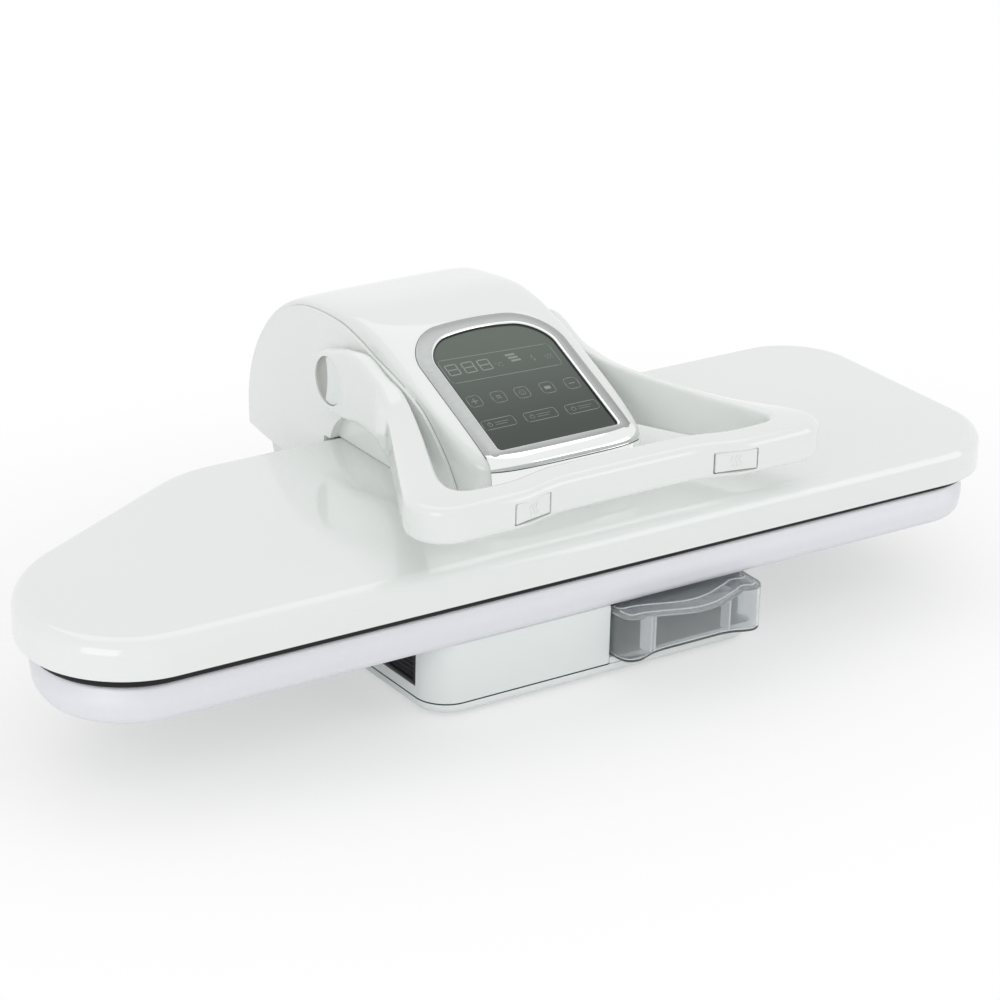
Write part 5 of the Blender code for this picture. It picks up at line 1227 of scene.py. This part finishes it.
MARK_RAISE = 0.00004
MARK_LINE = 0.58
SCREEN_CORNERS = [(-56.0, 95.2), (51.5, 91.6), (51.5, 117.8), (-55.6, 123.0)]
SCREEN_RADIUS = 4
DIGIT_PLACES = ((-47.0, 110.2), (-31.5, 109.6), (-16.4, 108.8))
DIGIT_SIDE, DIGIT_HALF, DIGIT_BAR, DIGIT_GAP, DIGIT_LINE = 5.2, 5.9, 4.3, 0.7, 1.1
LEVEL_PLACES = ((11.2, 114.0), (12.3, 110.4), (13.4, 106.8))
LEVEL_SIDE, LEVEL_LOW, LEVEL_HIGH = 4.6, 1.0, 1.2
FIELD_PLACES = ((-48.1, 71.9), (-24.9, 71.3), (-2.1, 70.6), (22.6, 70.0), (46.5, 69.2))
FIELD_SIZE = (12.6, 12.6, 3.4)
WIDE_FIELD_PLACES = ((-41.1, 43.7), (-0.5, 42.6), (39.7, 41.4))
WIDE_FIELD_SIZE = (31, 10.5, 2.6)
SYMBOL_HALF = 2.6
SYMBOL_LINE = 0.8
FINE_LINE = 0.5

PRINT = moulded(
    "printed_marks", tint=(0.19, 0.215, 0.20), shade=(0.27, 0.30, 0.28), cloud=30.0, clouding=0.5,
    roughness=0.12, spread=0.05, skin=500.0)
marks = bmesh.new()


def flat_mark(points):
    """A thin plate with the given outline."""
    solid([[display_place @ Vector((x / 1000, y / 1000, z)) for x, y in points]
           for z in (glass_top - MARK_RAISE, glass_top + MARK_RAISE)], marks)


def mark_line(points, width=MARK_LINE, closed=False):
    """A line of even width as short plates between points."""
    points = [Vector(point) for point in points]
    for first, second in zip(points, points[1:] + points[:1] if closed else points[1:]):
        along = (second - first).normalized() * width / 2
        side = Vector((-along.y, along.x))
        flat_mark([first - side - along, second - side + along, second + side + along, first + side - along])


def mark_box(x, y, width, height, corner):
    """A rounded box drawn as a line round a place."""
    corners = rectangle(x - width / 2, y - height / 2, x + width / 2, y + height / 2)
    mark_line(outline(corners, [corner] * 4, 4), closed=True)


def arc(x, y, radius, count, start=0, turn=None, rise=None):
    """Points round a place, from a start angle and a turn in degrees from each to the next."""
    angles = [math.radians(start + (turn or 360 / count) * k) for k in range(count)]
    return [(x + radius * math.cos(angle), y + (rise or radius) * math.sin(angle)) for angle in angles]


def ripple(x, y, swing, pace, rise, count):
    """Points of a wavy line that climbs from a place."""
    return [Vector((x + swing * math.sin(k * pace), y + rise * k)) for k in range(count)]


mark_line(outline(SCREEN_CORNERS, [SCREEN_RADIUS] * 4, 6), closed=True)
for x, y in DIGIT_PLACES:
    for rise in (DIGIT_HALF, 0, -DIGIT_HALF):
        mark_line([(x - DIGIT_BAR, y + rise), (x + DIGIT_BAR, y + rise)], DIGIT_LINE)
    for side_x in (x - DIGIT_SIDE, x + DIGIT_SIDE):
        for middle_y in (y - DIGIT_HALF / 2, y + DIGIT_HALF / 2):
            half = DIGIT_HALF / 2 - DIGIT_GAP
            mark_line([(side_x, middle_y - half), (side_x, middle_y + half)], DIGIT_LINE)
mark_line(arc(-6.6, 107.6, 0.9, 12), 0.45, closed=True)
mark_line(arc(-2.6, 105.6, 2.0, 11, 45, 27, rise=2.2), 0.6)
for x, y in LEVEL_PLACES:
    flat_mark([(x - LEVEL_SIDE, y - LEVEL_LOW), (x + LEVEL_SIDE, y - LEVEL_HIGH),
               (x + LEVEL_SIDE, y + LEVEL_LOW), (x - LEVEL_SIDE, y + LEVEL_HIGH)])
mark_line(ripple(29.5, 102.6, 1.4, 0.9, 0.8, 8), 0.9)
for x in (41.8, 44.4, 47.0):
    mark_line(ripple(x, 101.2, 0.8, 1.1, 0.7, 8), FINE_LINE)
for x, y in FIELD_PLACES:
    mark_box(x, y, *FIELD_SIZE)
plus, star, rings, bar, minus = FIELD_PLACES
for x, y in (plus, minus):
    mark_line([(x - SYMBOL_HALF, y), (x + SYMBOL_HALF, y)], SYMBOL_LINE)
x, y = plus
mark_line([(x, y - SYMBOL_HALF), (x, y + SYMBOL_HALF)], SYMBOL_LINE)
tips = zip(arc(*star, 1.2, 4), arc(*star, 2.4, 4, 45))
mark_line([point for pair in tips for point in pair], 0.7, closed=True)
for radius in (1.3, 2.9):
    mark_line(arc(*rings, radius, 16), FINE_LINE, closed=True)
x, y = bar
flat_mark(rectangle(x - 2.9, y - 1.7, x + 2.9, y + 1.7))
for x, y in WIDE_FIELD_PLACES:
    mark_box(x, y, *WIDE_FIELD_SIZE)
    mark_line(arc(x - 8.5, y, 2.1, 11, 120, 30), FINE_LINE)
    mark_line([(x - 8.5, y + 0.6), (x - 8.5, y + 2.7)], FINE_LINE)
    for rise, reach_out in ((1.2, 9.5), (-1.2, 7.0)):
        mark_line([(x - 3.5, y + rise), (x + reach_out, y + rise)], 0.4)
add_piece("display_marks", marks, PRINT, "press")
CIRCUIT = moulded(
    "circuit_board_skin", tint=(0.022, 0.150, 0.070), shade=(0.016, 0.100, 0.048), cloud=90.0,
    clouding=0.9, roughness=0.42, spread=0.2, skin=900.0, bump=0.0001)
paint_nodes(("display_module", "power_board"), CIRCUIT)

# Trim
# A bright lip across the hood's front, right under the frame, with a dark strip below it as painted shade.

TRIM_FIRST = 12
TRIM_FOOT_END = 20
TRIM_SHADE_END = 20.4
TRIM_TOP = 29
TRIM_ROWS = 8
TRIM_THICKNESS = 0.0020


def skin_row(index):
    """A row across the hood's skin as wide as the frame, also between two of its own rows."""
    low, share_wide = int(index), FRAME_WIDTH / HOOD_WIDTH
    return [a.lerp(b, index - low) for a, b in zip(hood_row(low, share_wide), hood_row(low + 1, share_wide))]


# The dark strip between foot and lip is painted shade under the lip.
for name, first, last, material in (
        ("trim_foot", TRIM_FIRST, TRIM_FOOT_END, CHROME),
        ("trim_painted_shade_line", TRIM_FOOT_END, TRIM_SHADE_END, RUBBER_AND_SHADE),
        ("trim_lip", TRIM_SHADE_END, TRIM_TOP, CHROME)):
    body = loft([skin_row(first + (last - first) * k / TRIM_ROWS) for k in range(TRIM_ROWS + 1)],
                closed=False)
    bmesh.ops.recalc_face_normals(body, faces=body.faces)
    if sum(face.normal.y for face in body.faces) > 0:
        bmesh.ops.reverse_faces(body, faces=body.faces)
    body.normal_update()
    for vert in body.verts:
        vert.co += vert.normal * GAP
    trim = add_piece(name, body, material, "press", ["chrome_trim"], faces_out=True)
    give_wall(trim, TRIM_THICKNESS, 1.0)

# Handle
# One hollow-looking bar of glossy white plastic: a hub on each side of the hood, arms that come
# forward and down, and a front bar with thicker ends, where the two steam buttons sit.

HANDLE_WIDTH = 0.387
HANDLE_EDGE = 0.006
HANDLE_EDGE_SHARE = 0.4
HANDLE_OVERHANG = 0.026
HANDLE_LINE_STEPS = 4
CORNER_STEPS = 6
CAP_STEPS = 96
CAP_RADIUS = 0.0210
CAP_RECESS = 0.0040
HUB_ROUND = 0.0046
HUB_ROUND_DEPTH = 0.0062
HUB_ROUND_STEPS = 8
BUTTON_SIZE = (0.0385, 0.0185)
BUTTON_CORNER_STEPS = 6
BUTTON_DEPTH = 0.0090
BUTTON_PROUD = 0.0010
BUTTON_GAP = 0.0006
BUTTON_POCKET = 0.0165
BUTTON_NOTCH = 0.0013
BUTTON_SETBACK = 0.0045
BUTTON_ALONG_SHARE = 0.9262
BUTTON_RISE_SHARE = 0.8319
BUTTON_TURN = math.radians(12)
POCKET_START = -0.012
POCKET_CORNER = 0.0016
HANDLE_HUB_SHARES = [
    (-0.3333, 0.6000, 1.4000, 1.4300),
    (0.1000, 0.5300, 1.4700, 1.5200),
    (0.6296, 0.5310, 1.5500, 1.6000),
    (1.1111, 0.5487, 1.5929, 1.6460),
]
HANDLE_ARM_SHARES = [
    (0.9873, 0.1495, 1.0096, 0.1495, 0.5487, 1.5752, 1.6283),
    (0.9826, 0.2326, 1.0067, 0.2326, 0.4779, 1.3982, 1.4690),
    (1.0224, 0.2877, 1.0192, 0.3110, 0.4212, 1.2885, 1.3947),
    (1.1291, 0.3757, 1.1067, 0.4090, 0.3912, 1.1522, 1.3115),
    (1.3701, 0.5156, 1.2606, 0.5422, 0.4177, 1.0460, 1.2407),
    (1.6099, 0.6478, 1.4231, 0.6711, 0.4513, 1.0265, 1.1858),
    (1.8244, 0.7654, 1.5644, 0.7854, 0.4903, 1.0442, 1.1628),
    (1.9656, 0.8465, 1.6154, 0.8532, 0.5221, 1.0796, 1.1681),
    (2.0000, 0.9136, 1.6154, 0.8804, 0.5487, 1.0973, 1.1681),
    (1.9197, 0.9668, 1.5769, 0.8970, 0.5664, 1.1062, 1.1593),
    (1.7590, 0.9934, 1.5096, 0.9053, 0.5752, 1.1150, 1.1504),
    (1.5295, 1.0000, 1.4327, 0.9070, 0.5841, 1.1239, 1.1504),
    (1.0993, 1.0000, 1.2452, 0.9070, 0.5841, 1.1239, 1.1504),
    (0.9403, 0.9950, 1.1010, 0.9020, 0.5841, 1.1239, 1.1504),
    (0.7992, 0.9801, 0.9497, 0.8887, 0.5841, 1.1239, 1.1504),
    (0.6582, 0.9684, 0.7821, 0.8771, 0.5841, 1.1239, 1.1504),
    (0.5266, 0.9635, 0.6257, 0.8721, 0.5841, 1.1239, 1.1504),
    (0.0000, 0.9618, 0.0000, 0.8704, 0.5841, 1.1239, 1.1504),
]

handle_reach = pivot.y - (press_front - HANDLE_OVERHANG)
handle_rise = pivot.z - press_high.z


def handle_out(part, face):
    return face * min(part, 1) + (HANDLE_WIDTH / 2 - face) * max(part - 1, 0)


def handle_section(numbers):
    """Points round one section of the left half, from two edges and three heights."""
    outer_out, outer_ahead, inner_out, inner_ahead, low, outer_top, inner_top = numbers
    places = [(outer_out, outer_ahead, low), (inner_out, inner_ahead, low),
              (inner_out, inner_ahead, inner_top), (outer_out, outer_ahead, outer_top)]
    corners = [Vector((HOOD_X - out, pivot.y - ahead, press_high.z + height))
               for out, ahead, height in places]
    radius = min(HANDLE_EDGE, (corners[0] - corners[1]).length * HANDLE_EDGE_SHARE)
    points = []
    for before, corner, after in zip(corners[-1:] + corners, corners, corners[1:] + corners[:1]):
        behind = (before - corner).normalized() * radius
        ahead = (after - corner).normalized() * radius
        points += [corner + behind * drop + ahead * inward for inward, drop in quarter(CORNER_STEPS)]
    return points


sections = []
for ahead, *heights in HANDLE_HUB_SHARES:
    sections.append(Vector((hub_out - GAP, ahead * HUB_RADIUS, hub_in, ahead * HUB_RADIUS,
                            *(height * handle_rise for height in heights))))
for outer, outer_ahead, inner, inner_ahead, *heights in HANDLE_ARM_SHARES:
    sections.append(Vector((handle_out(outer, hub_out), outer_ahead * handle_reach,
                            handle_out(inner, cover_out), inner_ahead * handle_reach,
                            *(height * handle_rise for height in heights))))
left_rows = [handle_section(numbers) for numbers in smooth_line(sections, HANDLE_LINE_STEPS)]
right_rows = [[Vector((2 * HOOD_X - p.x, p.y, p.z)) for p in row] for row in left_rows[-2::-1]]
handle = add_piece("handle_bar", solid(left_rows + right_rows), GLOSS_PLASTIC, "handle_unit", ["handle"])
for side, sign in SIDES:
    hub = [(sign * hub_in, HUB_RADIUS)]
    hub += [(sign * (hub_out - HUB_ROUND_DEPTH * drop), HUB_RADIUS - HUB_ROUND * inward)
            for inward, drop in quarter(HUB_ROUND_STEPS)]
    combine(handle, turned(hub, hub_place, CAP_STEPS), "UNION")
    combine(handle, shaft_bore(sign * hub_in / 2, sign * 2 * hub_out))
    recess = [(sign * (hub_out - CAP_RECESS), CAP_RADIUS + GAP), (sign * (hub_out - GAP), CAP_RADIUS + GAP),
              (sign * (hub_out + CAP_RECESS), CAP_RADIUS + GAP + CAP_RECESS)]
    combine(handle, turned(recess, hub_place, CAP_STEPS))


def button_place(sign):
    spot = Vector((HOOD_X + sign * hub_out * BUTTON_ALONG_SHARE,
                   press_front - HANDLE_OVERHANG + BUTTON_SETBACK,
                   press_high.z + handle_rise * BUTTON_RISE_SHARE))
    return Matrix.Translation(spot) @ Matrix.Rotation(-sign * BUTTON_TURN, 4, "Z")


def button_ring(inward, y, corner):
    """The button's outline as it is seen from the front, moved inward, at one depth."""
    half_w, half_h = BUTTON_SIZE[0] / 2 - inward, BUTTON_SIZE[1] / 2 - inward
    line = outline(rectangle(-half_w, -half_h, half_w, half_h), [corner - inward] * 4, BUTTON_CORNER_STEPS)
    return [(p.x, y, p.y) for p in line]


for side, sign in SIDES:
    for shift, depth in ((0, BUTTON_POCKET), (-BUTTON_NOTCH, BUTTON_DEPTH)):
        pocket = solid([button_ring(0, y, POCKET_CORNER) for y in (POCKET_START, depth)])
        shifted = button_place(sign) @ Matrix.Translation((shift, 0, 0))
        bmesh.ops.transform(pocket, matrix=shifted, verts=pocket.verts)
        combine(handle, pocket)

# Pivot caps and shaft
# A round cap in each hub: a dished disc whose grey is partly its own colour and partly painted shade for
# its hollow, and whose front is left as a raised white crescent. Behind it a steel shaft runs through the
# hood.

DISH_RIM = 0.0006
DISH_FLOOR = 0.0004
DISH_BACK = 0.0015
CRESCENT_SHIFT = 0.0642
CRESCENT_RADIUS = 0.0600
CRESCENT_GAP = 0.0004
CRESCENT_STEPS = 40
CRESCENT_ROUND = 0.0011

# The dish's grey is partly its own colour and partly painted shade for the hollow.
SATIN_GREY_AND_SHADE = moulded(
    "satin_grey_and_painted_shade", tint=(0.44, 0.455, 0.43), shade=(0.38, 0.395, 0.37), cloud=40.0, clouding=0.5,
    roughness=0.38, spread=0.10, skin=1400.0, bump=0.00004)


def crescent_ring(inward):
    """The part of the cap's circle that lies ahead of a second circle set back from it."""
    outer, cut = CAP_RADIUS - CRESCENT_GAP - inward, CRESCENT_RADIUS + inward
    meet = (outer ** 2 - cut ** 2 + CRESCENT_SHIFT ** 2) / (2 * CRESCENT_SHIFT)
    height = math.sqrt(outer ** 2 - meet ** 2)
    first, second = math.atan2(height, meet), math.atan2(height, meet - CRESCENT_SHIFT)
    line = []
    for step in range(CRESCENT_STEPS + 1):
        angle = first + (math.tau - 2 * first) * step / CRESCENT_STEPS
        line.append(Vector((pivot.y + outer * math.cos(angle), pivot.z + outer * math.sin(angle))))
    for step in range(1, CRESCENT_STEPS):
        angle = math.tau - second - (math.tau - 2 * second) * step / CRESCENT_STEPS
        line.append(Vector((pivot.y + CRESCENT_SHIFT + cut * math.cos(angle),
                            pivot.z + cut * math.sin(angle))))
    return line


for side, sign in SIDES:
    cap = "pivot_cap_" + side
    cap_low, cap_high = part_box(cap)
    inner_x, outer_x = (cap_low.x, cap_high.x) if sign > 0 else (cap_high.x, cap_low.x)
    floor_x = inner_x + sign * DISH_FLOOR
    dish = turned([(inner_x, CAP_RADIUS), (floor_x + sign * DISH_BACK, CAP_RADIUS),
                   (floor_x + sign * DISH_BACK, CAP_RADIUS - DISH_RIM),
                   (floor_x, CAP_RADIUS - 3 * DISH_RIM)],
                  (0, pivot.y, pivot.z), CAP_STEPS)
    add_piece(cap + "_dish", dish, SATIN_GREY_AND_SHADE, "handle_unit", [cap])
    rows = [standing(crescent_ring(0), floor_x)]
    rows += [standing(crescent_ring(inward), outer_x - sign * setback)
             for inward, setback in soft_edge(CRESCENT_ROUND)]
    add_piece(cap + "_crescent", solid(rows), SATIN_PLASTIC, "handle_unit", [cap])
paint_nodes(["handle_shaft"], ZINC_STEEL)

# Steam buttons and switches
# Two sprung push buttons in the ends of the bar, with a fine gap all round and three steam plumes
# embossed on each. Behind each one a small black switch.

BUTTON_CORNER = 0.0014
BUTTON_ROUND = 0.0012
BUTTON_ROUND_STEPS = 5
PLUME_SHIFTS = (-0.0034, 0, 0.0034)
PLUME_LOW = -0.0046
PLUME_SWING = 0.0010
PLUME_PACE = 0.9
PLUME_RISE = 0.00115
PLUME_POINTS = 9
PLUME_HEIGHT = 0.0004
PLUME_WIDTH = 0.0011
PLUME_END_SHARE = 0.35

for side, sign in SIDES:
    rows = [button_ring(BUTTON_GAP, BUTTON_DEPTH - BUTTON_PROUD, BUTTON_CORNER)]
    rows += [button_ring(BUTTON_GAP + BUTTON_ROUND * inward,
                         PLUME_HEIGHT - BUTTON_PROUD + BUTTON_ROUND * drop, BUTTON_CORNER)
             for inward, drop in quarter(BUTTON_ROUND_STEPS)]
    body = solid(rows)
    for shift in PLUME_SHIFTS:
        spine = ripple(shift, PLUME_LOW, PLUME_SWING, PLUME_PACE, PLUME_RISE, PLUME_POINTS)
        left_line, right_line = [], []
        for k, point in enumerate(spine):
            along = (spine[min(k + 1, PLUME_POINTS - 1)] - spine[max(k - 1, 0)]).normalized()
            swell = math.sin(math.pi * (k + 0.5) / PLUME_POINTS)
            out = Vector((-along.y, along.x)) * PLUME_WIDTH / 2
            out *= PLUME_END_SHARE + (1 - PLUME_END_SHARE) * swell
            left_line.append(point + out)
            right_line.append(point - out)
        solid([[(p.x, y, p.y) for p in left_line + right_line[::-1]]
               for y in (3 * PLUME_HEIGHT - BUTTON_PROUD, -BUTTON_PROUD)], body)
    bmesh.ops.transform(body, matrix=button_place(sign), verts=body.verts)
    button = "steam_button_" + side
    add_piece(button + "_cap", body, GLOSS_PLASTIC, button + "_unit", [button])
    paint_nodes(["steam_switch_" + side], BLACK_PLASTIC)

# Inside the base
# A small pump beside the tank's bay and the grommet of the mains lead in the back wall.

paint_nodes(("water_pump", "cord_gland"), BLACK_PLASTIC)
